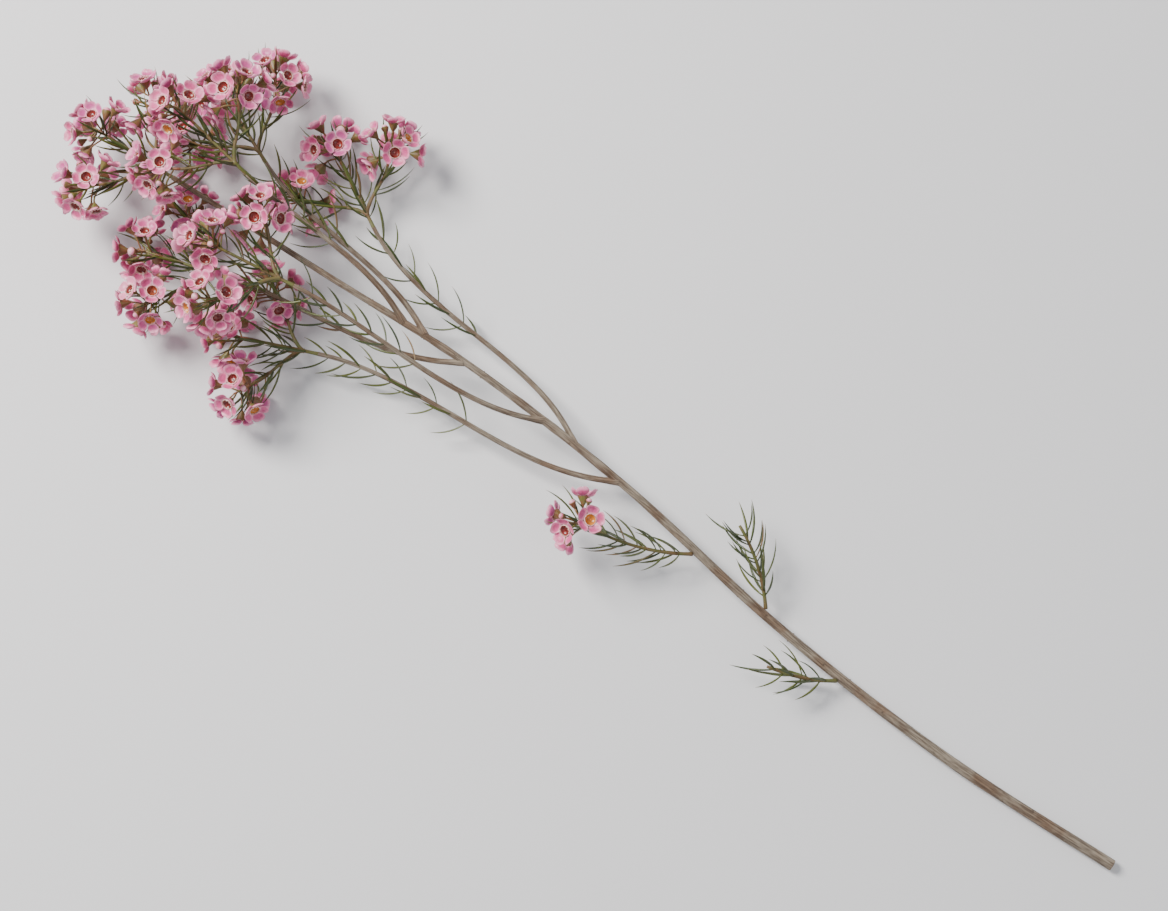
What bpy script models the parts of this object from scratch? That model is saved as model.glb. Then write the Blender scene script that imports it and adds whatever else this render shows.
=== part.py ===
"""A cut waxflower stem that lies on its side on a flat surface.

The woody stem runs along +Y from its cut end. Side branches leave it and part into leafy twigs,
and each twig ends in a head of five-petalled blooms. The surface is z = 0. What grows in one piece
is one object: the wood, the leafy green twigs of each spray, and each flower head on its stalks.
"""

import math
import random
from dataclasses import dataclass, field

import bmesh
import bpy
import numpy as np
from mathutils import Quaternion, Vector

MM = 0.001
GOLDEN_ANGLE = math.radians(137.508)
UP = Vector((0, 0, 1))

# Where the middle of the part's box lies, measured from the middle of the cut end.
BOX_MIDDLE = Vector((0.68, 297.18, 0)) * MM

# The woody stem, from the middle of its cut end, in millimetres, and the radius of the wood.
STEM_ROUTE = (
    (0, 0, 2.5),
    (-6, 90, 3.2),
    (-4, 185, 7),
    (5, 280, 15),
    (6, 370, 23),
    (-1, 455, 28),
    (-7, 537, 29),
)
BUTT_RADIUS = 2.7 * MM
STEM_TOP_RADIUS = 1.2 * MM
BRANCH_RADIUS = 1.45 * MM
BRANCH_TIP_RADIUS = 1.0 * MM
STEM_SIDES = 8
BRANCH_SIDES = 6
BRANCH_STEPS = 5
BRANCH_LEAN = math.radians(38)

# The leafy twigs.
TWIG_RADIUS = 0.95 * MM
TWIG_TIP_RADIUS = 0.7 * MM
TWIG_SIDES = 5
TWIG_STEPS = 3
TWIG_LEAN = math.radians(40)
NECK = 7 * MM
SEAM = 0.3 * MM

# The needle leaves: three-sided, in pairs that turn a quarter from one to the next.
NEEDLE_LENGTH = 19 * MM
NEEDLE_RADIUS = 0.62 * MM
NEEDLE_LEAN = math.radians(48)
NEEDLE_PITCH = 10 * MM
SHOOT_NEEDLE_PITCH = 9 * MM
FIRST_NEEDLE = 5 * MM
NEEDLE_CURL = math.radians(22)
NEEDLE_TURN = math.radians(97)
NEEDLE_TRIES = 10
NEEDLE_SEED = 8
LAST_NEEDLE = 3 * MM
FLOOR_GAP = 0.8 * MM

# A bloom: stalk, funnel-shaped base, five round petals in a shallow bowl, and a cup in the middle.
PETALS = 5
BLOOM_RADIUS = 6.5 * MM
PETAL_THICKNESS = 0.62 * MM
PETAL_HALF_ANGLE = math.radians(25)
NOTCH_RADIUS = 3.1 * MM
NOTCH_HEIGHT = 0.7 * MM
PIT_HEIGHT = 0.2 * MM
FUNNEL_LENGTH = 4.0 * MM
FUNNEL_RADIUS = 1.4 * MM
STALK_RADIUS = 0.5 * MM
LEAST_OPENING = 1.5 * MM
MOST_OPENING = 3.1 * MM

# A bud: its radius, the heights of its widest ring, its shoulder and its tip.
BUD_RADIUS = 1.9 * MM
BUD_WAIST = -0.4 * MM
BUD_SHOULDER = 1.2 * MM
BUD_TIP = 2.4 * MM
BUD_SHORTER = 2.5 * MM

# A flower head: blooms on a dome about the tip of its twig.
RACHIS = 12 * MM
RACHIS_RADIUS = 0.75 * MM
HEAD_RADIUS = 13 * MM
HEAD_CAP = math.radians(104)
HEAD_SITES = 9
BUD_SITE = 3
HEAD_TRIES = 48
HEAD_MIDDLE = 0.6
MOST_LIFT = math.radians(75)
LIFT_HALVINGS = 24


@dataclass
class Spray:
    """A side branch: where it leaves the stem, where its twigs part, and the way they run.

    A spray that leaves nowhere grows from the top of the stem.
    """

    name: str
    leaves: float = None
    fork: tuple = None
    heading: tuple = None
    roll: float = 0
    twig_length: float = 31
    seed: int = 1


# Distances in millimetres from the middle of the cut end, headings as directions, rolls in degrees.
SPRAYS = (
    Spray("left_low", 285, (-31, 433, 15), (-0.42, 0.9, 0.02), 10, seed=11),
    Spray("right_low", 312, (33, 450, 15), (0.44, 0.89, 0.02), -12, seed=23),
    Spray("upper_low", 330, (-16, 455, 44), (-0.2, 0.95, 0.2), 16, seed=35),
    Spray("left_high", 376, (-28, 490, 17), (-0.32, 0.94, -0.02), 14, seed=47),
    Spray("right_high", 398, (27, 510, 17), (0.36, 0.93, -0.02), -14, seed=59),
    Spray("upper_high", 410, (12, 504, 48), (0.1, 0.96, 0.2), -12, seed=61),
    Spray("leader", roll=4, twig_length=32, seed=73),
)


@dataclass
class Shoot:
    """A short leafy shoot low on the stem, with a few blooms or none."""

    name: str
    leaves: float
    around: float
    length: float
    sites: int = 0
    seed: int = 1


# The angles go round the stem from its right-hand side over the top.
SHOOTS = (
    Shoot("low_1", 150, 150, 34, seed=101),
    Shoot("low_2", 196, 28, 40, seed=103),
    Shoot("low_3", 238, 160, 46, sites=5, seed=107),
)
SHOOT_LEAN = math.radians(46)


@dataclass
class Path:
    """A line through points, each with the direction of travel there."""

    points: list
    headings: list = field(default_factory=list)

    def __post_init__(self):
        if not self.headings:
            last = len(self.points) - 1
            for i in range(last + 1):
                ahead = self.points[min(i + 1, last)] - self.points[max(i - 1, 0)]
                self.headings.append(ahead.normalized())

    def at(self, distance):
        """The point and heading that far along the path."""
        for i in range(len(self.points) - 1):
            step = (self.points[i + 1] - self.points[i]).length
            if distance <= step or i == len(self.points) - 2:
                share = min(1.0, distance / step)
                point = self.points[i].lerp(self.points[i + 1], share)
                heading = self.headings[i].lerp(self.headings[i + 1], share)
                return point, heading.normalized()
            distance -= step

    def length(self):
        steps = zip(self.points, self.points[1:])
        return sum((b - a).length for a, b in steps)


def any_side(way):
    """A direction square to a heading."""
    return way.cross(UP if abs(way.z) < 0.9 else Vector((1, 0, 0))).normalized()


@dataclass
class Bloom:
    """A flower or a bud on its stalk."""

    root: Vector
    centre: Vector
    axis: Vector
    spin: float
    size: float
    opening: float
    is_bud: bool = False

    def frame(self):
        """Two directions across the bloom, turned by its spin."""
        across = any_side(self.axis)
        across.rotate(Quaternion(self.axis, self.spin))
        return across, self.axis.cross(across)

    def point(self, angle, radius, height):
        """A point of the bloom, from its angle and radius about the axis and its height along it."""
        across, other = self.frame()
        out = across * math.cos(angle) + other * math.sin(angle)
        return self.centre + (out * radius + self.axis * height) * self.size

    def funnel_base(self):
        return self.centre - self.axis * FUNNEL_LENGTH * self.size

    def notch(self, petal):
        """Where a petal meets the one before it."""
        return self.point(math.tau * (petal - 0.5) / PETALS, NOTCH_RADIUS, NOTCH_HEIGHT)

    def tip(self, petal):
        """The underside of a petal's end."""
        return self.point(math.tau * petal / PETALS, BLOOM_RADIUS * 0.97, self.opening)

    def corner(self, petal, side):
        """One of the two upper corners of a petal's end."""
        angle = math.tau * petal / PETALS + side * PETAL_HALF_ANGLE
        return self.point(angle, BLOOM_RADIUS, self.opening + PETAL_THICKNESS)

    def outline(self):
        """The outermost points, for telling how low the bloom reaches."""
        petals = range(PETALS)
        corners = [self.corner(petal, side) for petal in petals for side in (-1, 1)]
        return corners + [self.tip(petal) for petal in petals]


@dataclass
class Head:
    """A flower head: its twig's end, the way it faces, and its blooms."""

    name: str
    hub: Vector
    axis: Vector
    blooms: list


@dataclass
class Needle:
    """A needle leaf, from its root on a twig's axis over its bend to its tip."""

    root: Vector
    bend: Vector
    tip: Vector


class Clearance:
    """Keeps rods, the round-ended bars that stand for what is placed, and tells what is free."""

    GAP = 0.35 * MM

    def __init__(self):
        self.owners = []
        self.kinds = []
        self.rods = np.zeros((0, 7))

    def add(self, owner, kind, rods):
        self.owners += [owner] * len(rods)
        self.kinds += [kind] * len(rods)
        rows = [[*start, *end, radius] for start, end, radius in rods]
        self.rods = np.vstack([self.rods, rows])

    def is_clear(self, rods, counts):
        """True if no rod comes nearer than the gap to a kept rod whose owner and kind count."""
        chosen = [counts(owner, kind) for owner, kind in zip(self.owners, self.kinds)]
        kept = self.rods[np.array(chosen, bool)]
        for start, end, radius in rods:
            apart = distances(np.array(start), np.array(end), kept[:, :3], kept[:, 3:6])
            if (apart < kept[:, 6] + radius + self.GAP).any():
                return False
        return True


def distances(start, end, starts, ends):
    """The shortest distance from one line segment to each of many."""
    along, alongs, between = end - start, ends - starts, start - starts
    a, e = along @ along + 1e-12, (alongs**2).sum(1) + 1e-12
    b, c, f = alongs @ along, between @ along, (alongs * between).sum(1)
    s = np.clip((b * f - c * e) / np.maximum(a * e - b * b, 1e-14), 0, 1)
    t = np.clip((b * s + f) / e, 0, 1)
    s = np.clip((b * t - c) / a, 0, 1)
    gap = between + s[:, None] * along - t[:, None] * alongs
    return np.linalg.norm(gap, axis=1)


def curve_path(start, start_way, end, end_way, steps):
    """A smooth bend from one point and heading to another."""
    reach = (end - start).length / 3
    knots = (start, start + start_way * reach, end - end_way * reach, end)
    points, headings = [], []
    for i in range(steps + 1):
        t = i / steps
        u = 1 - t
        points.append(
            knots[0] * u**3 + knots[1] * 3 * u * u * t + knots[2] * 3 * u * t * t + knots[3] * t**3
        )
        slope = (knots[1] - knots[0]) * u * u + (knots[2] - knots[1]) * 2 * u * t
        headings.append((slope + (knots[3] - knots[2]) * t * t).normalized())
    return Path(points, headings)


def through(knots, steps):
    """A smooth path through every knot, with that many steps from one to the next."""
    knots = [Vector(k) * MM for k in knots]
    ends = [knots[0] * 2 - knots[1]] + knots + [knots[-1] * 2 - knots[-2]]
    points = []
    for i in range(1, len(ends) - 2):
        before, a, b, after = ends[i - 1 : i + 3]
        for step in range(steps):
            t = step / steps
            points.append(
                a
                + (b - before) * (t / 2)
                + (before * 2 - a * 5 + b * 4 - after) * (t * t / 2)
                + (a * 3 - before - b * 3 + after) * (t**3 / 2)
            )
    return Path(points + [knots[-1]])


def leaning(way, sideways, lean):
    """A heading turned away from another by an angle, towards a side."""
    side = (sideways - way * sideways.dot(way)).normalized()
    return (way * math.cos(lean) + side * math.sin(lean)).normalized()


def fork_of(spray, stem):
    """Where the twigs of a spray part, and the way it runs there."""
    if spray.fork is None:
        return stem.points[-1], stem.headings[-1]
    return Vector(spray.fork) * MM, Vector(spray.heading).normalized()


def branch_path(spray, stem):
    """The wood of a side branch, from inside the stem to where its twigs part."""
    start, way = stem.at(spray.leaves * MM)
    fork, heading = fork_of(spray, stem)
    return curve_path(start, leaning(way, fork - start, BRANCH_LEAN), fork, heading, BRANCH_STEPS)


def twig_paths(spray, stem):
    """The three green twigs of a spray. The middle one runs on from the wood and carries the others."""
    fork, heading = fork_of(spray, stem)
    side = any_side(heading)
    side.rotate(Quaternion(heading, math.radians(spray.roll)))
    start = fork + heading * SEAM
    draw = random.Random(spray.seed)
    middle_end = start + heading * spray.twig_length * MM * draw.uniform(1.0, 1.12)
    paths = [curve_path(start, heading, middle_end, heading, TWIG_STEPS)]
    for hand in (-1, 1):
        way = leaning(heading, side * hand, TWIG_LEAN)
        first = leaning(heading, side * hand, TWIG_LEAN * 0.7)
        last = leaning(heading, side * hand, TWIG_LEAN * draw.uniform(0.9, 1.2))
        end = start + way * spray.twig_length * MM * draw.uniform(0.88, 1.02)
        paths.append(curve_path(start + heading * NECK, first, end, last, TWIG_STEPS))
    return paths


def shoot_path(shoot, stem):
    """A short green shoot that stands on the side of the stem."""
    distance = shoot.leaves * MM
    point, way = stem.at(distance)
    side = any_side(way)
    side.rotate(Quaternion(way, -math.radians(shoot.around)))
    bark = BUTT_RADIUS + (STEM_TOP_RADIUS - BUTT_RADIUS) * distance / stem.length()
    base = point + side * (bark + SEAM + TWIG_RADIUS * math.cos(SHOOT_LEAN))
    end = base + leaning(way, side, SHOOT_LEAN * 0.7) * shoot.length * MM
    start_way, end_way = leaning(way, side, SHOOT_LEAN), leaning(way, side, SHOOT_LEAN * 0.4)
    return curve_path(base, start_way, end, end_way, TWIG_STEPS)


def petal_rods(bloom):
    """The space that a bloom's petals fill."""
    if bloom.is_bud:
        tip = bloom.centre + bloom.axis * BUD_RADIUS * bloom.size
        return [(bloom.centre, tip, BUD_RADIUS * bloom.size)]
    rods = []
    for petal in range(PETALS):
        angle = math.tau * petal / PETALS
        inner = bloom.point(angle, NOTCH_RADIUS * 0.7, NOTCH_HEIGHT)
        outer = bloom.point(angle, BLOOM_RADIUS * 0.73, bloom.opening * 0.8 + PETAL_THICKNESS)
        rods.append((inner, outer, BLOOM_RADIUS * 0.33 * bloom.size))
    return rods


def stalk_rods(bloom):
    """The space that a bloom's stalk and funnel fill."""
    base = bloom.funnel_base()
    near_root = bloom.root.lerp(base, 0.25)
    return [(near_root, base, STALK_RADIUS), (base, bloom.centre, FUNNEL_RADIUS)]


def set_bloom(head, root_share, way, reach, draw, is_bud):
    """A bloom that lies that way from the head's middle, rooted that far along the rachis."""
    middle = head.hub + head.axis * RACHIS * HEAD_MIDDLE
    root = head.hub + head.axis * RACHIS * root_share
    size = draw.uniform(0.92, 1.08)
    if is_bud:
        size = draw.uniform(0.85, 1.1)
    opening = draw.uniform(LEAST_OPENING, MOST_OPENING)
    return Bloom(root, middle + way * reach, way, draw.uniform(0, math.tau), size, opening, is_bud)


def lift_off_floor(head, bloom, reach):
    """Turns a bloom that would dip under the surface up about its head until it just touches."""
    middle = head.hub + head.axis * RACHIS * HEAD_MIDDLE
    way = bloom.axis.copy()
    axle = way.cross(UP)
    if axle.length < 1e-6:
        return False

    def lowest(angle):
        bloom.axis = way.copy()
        bloom.axis.rotate(Quaternion(axle.normalized(), angle))
        bloom.centre = middle + bloom.axis * reach
        return min(point.z for point in bloom.outline())

    low, high = 0.0, MOST_LIFT
    if lowest(low) >= 0:
        return True
    if lowest(high) < 0:
        return False
    for _ in range(LIFT_HALVINGS):
        middle_angle = (low + high) / 2
        if lowest(middle_angle) < 0:
            low = middle_angle
        else:
            high = middle_angle
    return lowest(high) >= 0


def grow_head(name, twig, sites, has_bud, seed, clearance):
    """A head of blooms on a dome, each turned, raised or left out where something is in its way."""
    axis = twig.headings[-1]
    hub = twig.points[-1] + axis * SEAM
    head = Head(name, hub, axis, [])
    draw = random.Random(seed)
    turn = draw.uniform(0, math.tau)
    side = any_side(axis)
    clearance.add(name, "rachis", [(hub, hub + axis * RACHIS, TWIG_TIP_RADIUS)])
    for site in range(sites):
        share = math.sqrt((site + 0.35) / sites)
        is_bud = has_bud and site == BUD_SITE
        for attempt in range(HEAD_TRIES):
            stray = 0.1 + 0.06 * attempt
            lean = HEAD_CAP * share + draw.uniform(-stray, stray)
            around = turn + site * GOLDEN_ANGLE + draw.uniform(-stray, stray)
            sideways = side.copy()
            sideways.rotate(Quaternion(axis, around))
            way = leaning(axis, sideways, lean)
            reach = HEAD_RADIUS * draw.uniform(0.93, 1.07) - (BUD_SHORTER if is_bud else 0)
            root_share = 0.94 - 0.84 * site / sites
            bloom = set_bloom(head, root_share, way, reach, draw, is_bud)
            if not lift_off_floor(head, bloom, reach):
                continue
            petals, stalk = petal_rods(bloom), stalk_rods(bloom)
            if not clearance.is_clear(petals, lambda owner, kind: True):
                continue
            if not clearance.is_clear(stalk, lambda owner, kind: owner != name or kind == "petals"):
                continue
            clearance.add(name, "petals", petals)
            clearance.add(name, "stalk", stalk)
            head.blooms.append(bloom)
            break
    return head


def grow_needles(owner, path, start, pitch, turn, clearance, draw):
    """Pairs of needles along a twig, each bent clear of what it would cross, or left out."""
    needles = []
    reach = path.length() - start - LAST_NEEDLE
    for pair in range(int(reach / pitch) + 1):
        point, way = path.at(start + pair * pitch)
        side = any_side(way)
        for half in (0, 1):
            for attempt in range(NEEDLE_TRIES):
                around = turn + pair * NEEDLE_TURN + half * math.pi
                around += draw.uniform(-0.2, 0.2) * (1 + attempt)
                lean = NEEDLE_LEAN * draw.uniform(0.8, 1.15)
                length = NEEDLE_LENGTH * draw.uniform(0.8, 1.2)
                sideways = side.copy()
                sideways.rotate(Quaternion(way, around))
                bend = point + leaning(way, sideways, lean) * length * 0.5
                tip = bend + leaning(way, sideways, lean - NEEDLE_CURL) * length * 0.5
                rods = [(point.lerp(bend, 0.3), bend, NEEDLE_RADIUS), (bend, tip, NEEDLE_RADIUS)]
                above = min(bend.z, tip.z) > FLOOR_GAP
                if above and clearance.is_clear(rods, lambda other, kind: other != owner):
                    clearance.add(owner, "needle", rods)
                    needles.append(Needle(point, bend, tip))
                    break
    return needles


def path_rods(path, radius):
    """The space that a bar along a path fills."""
    return [(a, b, radius) for a, b in zip(path.points, path.points[1:])]


@dataclass
class Layout:
    """Where everything grows, measured from the middle of the cut end."""

    stem: Path
    branches: dict = field(default_factory=dict)
    twigs: dict = field(default_factory=dict)
    needles: dict = field(default_factory=dict)
    heads: list = field(default_factory=list)


def grow():
    """The whole stem: wood first, then twigs, then flower heads, and needles where there is room."""
    layout = Layout(through(STEM_ROUTE, 3))
    stem = layout.stem
    clearance = Clearance()
    clearance.add("woody_stem", "wood", path_rods(stem, BUTT_RADIUS))
    for spray in SPRAYS:
        if spray.leaves is not None:
            layout.branches[spray.name] = branch_path(spray, stem)
            rods = path_rods(layout.branches[spray.name], BRANCH_RADIUS)
            clearance.add("woody_stem", "wood", rods)
        layout.twigs[f"leafy_spray_{spray.name}"] = twig_paths(spray, stem)
    for shoot in SHOOTS:
        layout.twigs[f"leafy_shoot_{shoot.name}"] = [shoot_path(shoot, stem)]
    for name, twigs in layout.twigs.items():
        for twig in twigs:
            clearance.add(name, "twig", path_rods(twig, TWIG_RADIUS))
    for spray in SPRAYS:
        for number, twig in enumerate(layout.twigs[f"leafy_spray_{spray.name}"], 1):
            name = f"flower_head_{spray.name}_{number}"
            seed = spray.seed + number
            layout.heads.append(grow_head(name, twig, HEAD_SITES, number == 1, seed, clearance))
    for shoot in SHOOTS:
        if shoot.sites:
            twig = layout.twigs[f"leafy_shoot_{shoot.name}"][0]
            name = f"flower_head_{shoot.name}"
            layout.heads.append(grow_head(name, twig, shoot.sites, False, shoot.seed, clearance))
    draw = random.Random(NEEDLE_SEED)
    for name, twigs in layout.twigs.items():
        pitch = NEEDLE_PITCH if name.startswith("leafy_spray") else SHOOT_NEEDLE_PITCH
        layout.needles[name] = []
        for number, twig in enumerate(twigs):
            start = FIRST_NEEDLE * (2 if number else 1)
            turn = draw.uniform(0, math.tau)
            layout.needles[name] += grow_needles(name, twig, start, pitch, turn, clearance, draw)
    return layout


class Skin:
    """Gathers rings of points into one closed mesh."""

    def __init__(self):
        self.points = []
        self.faces = []

    def ring(self, points):
        first = len(self.points)
        self.points += points
        return list(range(first, len(self.points)))

    def face(self, *corners):
        if len(set(corners)) == len(corners):
            self.faces.append(corners)

    def bridge(self, lower, upper):
        """Joins two rings of any counts with triangles, the lower one first along the shape."""
        i = j = 0
        while i < len(lower) or j < len(upper):
            a, b = lower[i % len(lower)], upper[j % len(upper)]
            if (i + 0.5) / len(lower) <= (j + 0.5) / len(upper):
                i += 1
                self.face(a, lower[i % len(lower)], b)
            else:
                j += 1
                self.face(a, upper[j % len(upper)], b)

    def mesh_object(self, name):
        mesh = bpy.data.meshes.new(name)
        mesh.from_pydata([p - BOX_MIDDLE for p in self.points], [], self.faces)
        shape = bmesh.new()
        shape.from_mesh(mesh)
        bmesh.ops.recalc_face_normals(shape, faces=shape.faces)
        shape.to_mesh(mesh)
        shape.free()
        made = bpy.data.objects.new(name, mesh)
        bpy.context.scene.collection.objects.link(made)
        return made


def circle(middle, way, side, radius, sides, turn=0.0):
    """Points round a circle that is square to a heading, counted from a side, or turned from it."""
    across = (side - way * side.dot(way)).normalized()
    other = way.cross(across)
    angles = [turn + math.tau * k / sides for k in range(sides)]
    return [middle + (across * math.cos(a) + other * math.sin(a)) * radius for a in angles]


def tube(name, path, start_radius, end_radius, sides):
    """A tapering bar along a path, with flat ends and a flat underside."""
    skin = Skin()
    count = len(path.points)
    side = any_side(path.headings[0])
    rings = []
    for i, (point, way) in enumerate(zip(path.points, path.headings)):
        radius = start_radius + (end_radius - start_radius) * i / (count - 1)
        side = (side - way * side.dot(way)).normalized()
        rings.append(skin.ring(circle(point, way, side, radius, sides, math.pi / sides)))
    for lower, upper in zip(rings, rings[1:]):
        skin.bridge(lower, upper)
    skin.face(*rings[0])
    skin.face(*reversed(rings[-1]))
    return skin.mesh_object(name)


def needle_object(name, needle):
    """A three-sided needle whose root is sunk in its twig."""
    skin = Skin()
    first = (needle.bend - needle.root).normalized()
    last = (needle.tip - needle.bend).normalized()
    side = any_side(first)
    root = skin.ring(circle(needle.root, first, side, NEEDLE_RADIUS * 0.75, 3))
    bend = skin.ring(circle(needle.bend, (first + last).normalized(), side, NEEDLE_RADIUS, 3))
    tip = skin.ring([needle.tip])[0]
    skin.bridge(root, bend)
    for a, b in zip(bend, bend[1:] + bend[:1]):
        skin.face(a, b, tip)
    skin.face(*root)
    return skin.mesh_object(name)


def add_stalk(skin, bloom):
    """The stalk of a bloom or bud, from inside the rachis to the base of its funnel."""
    base = bloom.funnel_base()
    way = (base - bloom.root).normalized()
    side = bloom.notch(0) - bloom.centre
    root = skin.ring(circle(bloom.root, way, side, STALK_RADIUS * 0.8, 3))
    top = skin.ring(circle(base, (way + bloom.axis).normalized(), side, STALK_RADIUS * 1.2, 3))
    skin.bridge(root, top)
    skin.face(*root)
    return top


def bloom_object(name, bloom):
    """A bloom: stalk, funnel, five blunt petals of a real thickness, and the hollow between them."""
    skin = Skin()
    base = add_stalk(skin, bloom)
    petals = range(PETALS)
    notches = skin.ring([bloom.notch(petal) for petal in petals])
    tips = skin.ring([bloom.tip(petal) for petal in petals])
    first_corners = skin.ring([bloom.corner(petal, -1) for petal in petals])
    last_corners = skin.ring([bloom.corner(petal, 1) for petal in petals])
    pit = skin.ring([bloom.point(0, 0, PIT_HEIGHT)])[0]
    skin.bridge(base, notches)
    for petal in petals:
        notch, next_notch = notches[petal], notches[(petal + 1) % PETALS]
        tip, first, last = tips[petal], first_corners[petal], last_corners[petal]
        skin.face(notch, tip, next_notch)
        skin.face(notch, tip, first)
        skin.face(first, tip, last)
        skin.face(last, tip, next_notch)
        skin.face(notch, first, pit)
        skin.face(first, last, pit)
        skin.face(last, next_notch, pit)
    return skin.mesh_object(name)


def bud_object(name, bud):
    """A round bud on its stalk."""
    skin = Skin()
    base = add_stalk(skin, bud)
    angles = [math.tau * (k - 0.5) / PETALS for k in range(PETALS)]
    lower = skin.ring([bud.point(angle, BUD_RADIUS * 0.95, BUD_WAIST) for angle in angles])
    upper = skin.ring([bud.point(angle, BUD_RADIUS * 0.9, BUD_SHOULDER) for angle in angles])
    tip = skin.ring([bud.point(0, 0, BUD_TIP)])[0]
    skin.bridge(base, lower)
    skin.bridge(lower, upper)
    for a, b in zip(upper, upper[1:] + upper[:1]):
        skin.face(a, b, tip)
    return skin.mesh_object(name)


def fuse(trunk, others):
    """Joins the other objects to the first in one body, and removes them."""
    group = bpy.data.collections.new("joined")
    for other in others:
        group.objects.link(other)
    union = trunk.modifiers.new("union", "BOOLEAN")
    union.operation = "UNION"
    union.operand_type = "COLLECTION"
    union.collection = group
    union.solver = "EXACT"
    graph = bpy.context.evaluated_depsgraph_get()
    joined = bpy.data.meshes.new_from_object(trunk.evaluated_get(graph))
    trunk.modifiers.clear()
    trunk.data = joined
    for other in others:
        bpy.data.objects.remove(other)
    bpy.data.collections.remove(group)
    return trunk


def material(name, colour, roughness):
    """A plain finish with a name, a colour and a roughness."""
    made = bpy.data.materials.new(name)
    made.use_nodes = True
    shader = made.node_tree.nodes["Principled BSDF"]
    shader.inputs["Base Color"].default_value = (*colour, 1)
    shader.inputs["Roughness"].default_value = roughness
    shader.inputs["Metallic"].default_value = 0
    made.diffuse_color = (*colour, 1)
    return made


def finish(made, finish_material):
    made.data.materials.clear()
    made.data.materials.append(finish_material)


def build_wood(layout, bark):
    """The woody stem with its side branches, which grew as one piece."""
    trunk = tube("woody_stem", layout.stem, BUTT_RADIUS, STEM_TOP_RADIUS, STEM_SIDES)
    limbs = []
    for name, path in layout.branches.items():
        limbs.append(tube(f"branch_{name}", path, BRANCH_RADIUS, BRANCH_TIP_RADIUS, BRANCH_SIDES))
    finish(fuse(trunk, limbs), bark)


def build_twigs(layout, green):
    """The leafy twigs of each spray, with their needles, as one green piece."""
    for name, twigs in layout.twigs.items():
        tubes = []
        for path in twigs:
            tubes.append(tube(name, path, TWIG_RADIUS, TWIG_TIP_RADIUS, TWIG_SIDES))
        pieces = [needle_object("needle", needle) for needle in layout.needles[name]]
        finish(fuse(tubes[0], tubes[1:] + pieces), green)


def build_heads(layout, pink):
    """Each flower head, with its blooms and buds on their stalks, as one piece."""
    for head in layout.heads:
        end = head.hub + head.axis * RACHIS
        rachis = tube(head.name, Path([head.hub, end]), RACHIS_RADIUS, RACHIS_RADIUS, TWIG_SIDES)
        flowers = []
        for bloom in head.blooms:
            make = bud_object if bloom.is_bud else bloom_object
            flowers.append(make("flower", bloom))
        finish(fuse(rachis, flowers), pink)


def clear_scene():
    for old in list(bpy.data.objects):
        bpy.data.objects.remove(old)


def main():
    clear_scene()
    layout = grow()
    build_wood(layout, material("bark", (0.2, 0.13, 0.08), 0.8))
    build_twigs(layout, material("leaf_green", (0.07, 0.13, 0.05), 0.55))
    build_heads(layout, material("petal_pink", (0.68, 0.3, 0.5), 0.45))


main()
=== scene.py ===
"""Dresses a cut waxflower stem that lies on its side: bark, needle leaves, blooms and buds."""

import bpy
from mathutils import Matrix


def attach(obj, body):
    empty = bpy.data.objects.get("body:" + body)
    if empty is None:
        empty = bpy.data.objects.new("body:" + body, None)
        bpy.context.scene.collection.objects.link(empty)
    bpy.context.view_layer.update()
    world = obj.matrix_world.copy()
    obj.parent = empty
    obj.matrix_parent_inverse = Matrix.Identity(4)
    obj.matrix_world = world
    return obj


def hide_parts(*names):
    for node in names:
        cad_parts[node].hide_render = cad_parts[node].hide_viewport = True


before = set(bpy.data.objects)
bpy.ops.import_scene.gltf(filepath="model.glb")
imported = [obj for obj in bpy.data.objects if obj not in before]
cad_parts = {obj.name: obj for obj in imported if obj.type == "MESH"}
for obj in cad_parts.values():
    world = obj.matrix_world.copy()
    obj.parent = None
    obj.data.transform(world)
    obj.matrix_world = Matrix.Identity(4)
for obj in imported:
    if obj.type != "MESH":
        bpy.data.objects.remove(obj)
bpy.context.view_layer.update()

import math
import random
from dataclasses import dataclass, field
from functools import cache

import bpy
import numpy as np
from bpy.props import FloatProperty, FloatVectorProperty, PointerProperty
from mathutils import Matrix, Quaternion, Vector, noise

bl_info = {
    "name": "Waxflower stem",
    "version": (1, 0, 0),
    "blender": (4, 5, 0),
    "location": "View3D > Sidebar > Waxflower",
    "description": "Dresses a cut waxflower stem with bark, needle leaves, blooms and buds",
    "category": "Object",
}

MM = 0.001
GOLDEN_ANGLE = math.radians(137.508)
UP = Vector((0, 0, 1))

# Where the middle of the part's box lies, measured from the middle of the cut end.
BOX_MIDDLE = Vector((0.68, 297.18, 0)) * MM

# The woody stem, from the middle of its cut end, in millimetres, and the radius of the wood.
STEM_ROUTE = (
    (0, 0, 2.5),
    (-6, 90, 3.2),
    (-4, 185, 7),
    (5, 280, 15),
    (6, 370, 23),
    (-1, 455, 28),
    (-7, 537, 29),
)
BUTT_RADIUS = 2.7 * MM
STEM_TOP_RADIUS = 1.2 * MM
BRANCH_RADIUS = 1.45 * MM
BRANCH_TIP_RADIUS = 1.0 * MM
BRANCH_STEPS = 5
STEM_STEPS = 3
BRANCH_LEAN = math.radians(38)

# The leafy twigs.
TWIG_RADIUS = 0.95 * MM
TWIG_TIP_RADIUS = 0.7 * MM
TWIG_STEPS = 3
FINE_STEPS = 14
TWIG_LEAN = math.radians(40)
NECK = 7 * MM
SEAM = 0.3 * MM

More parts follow.
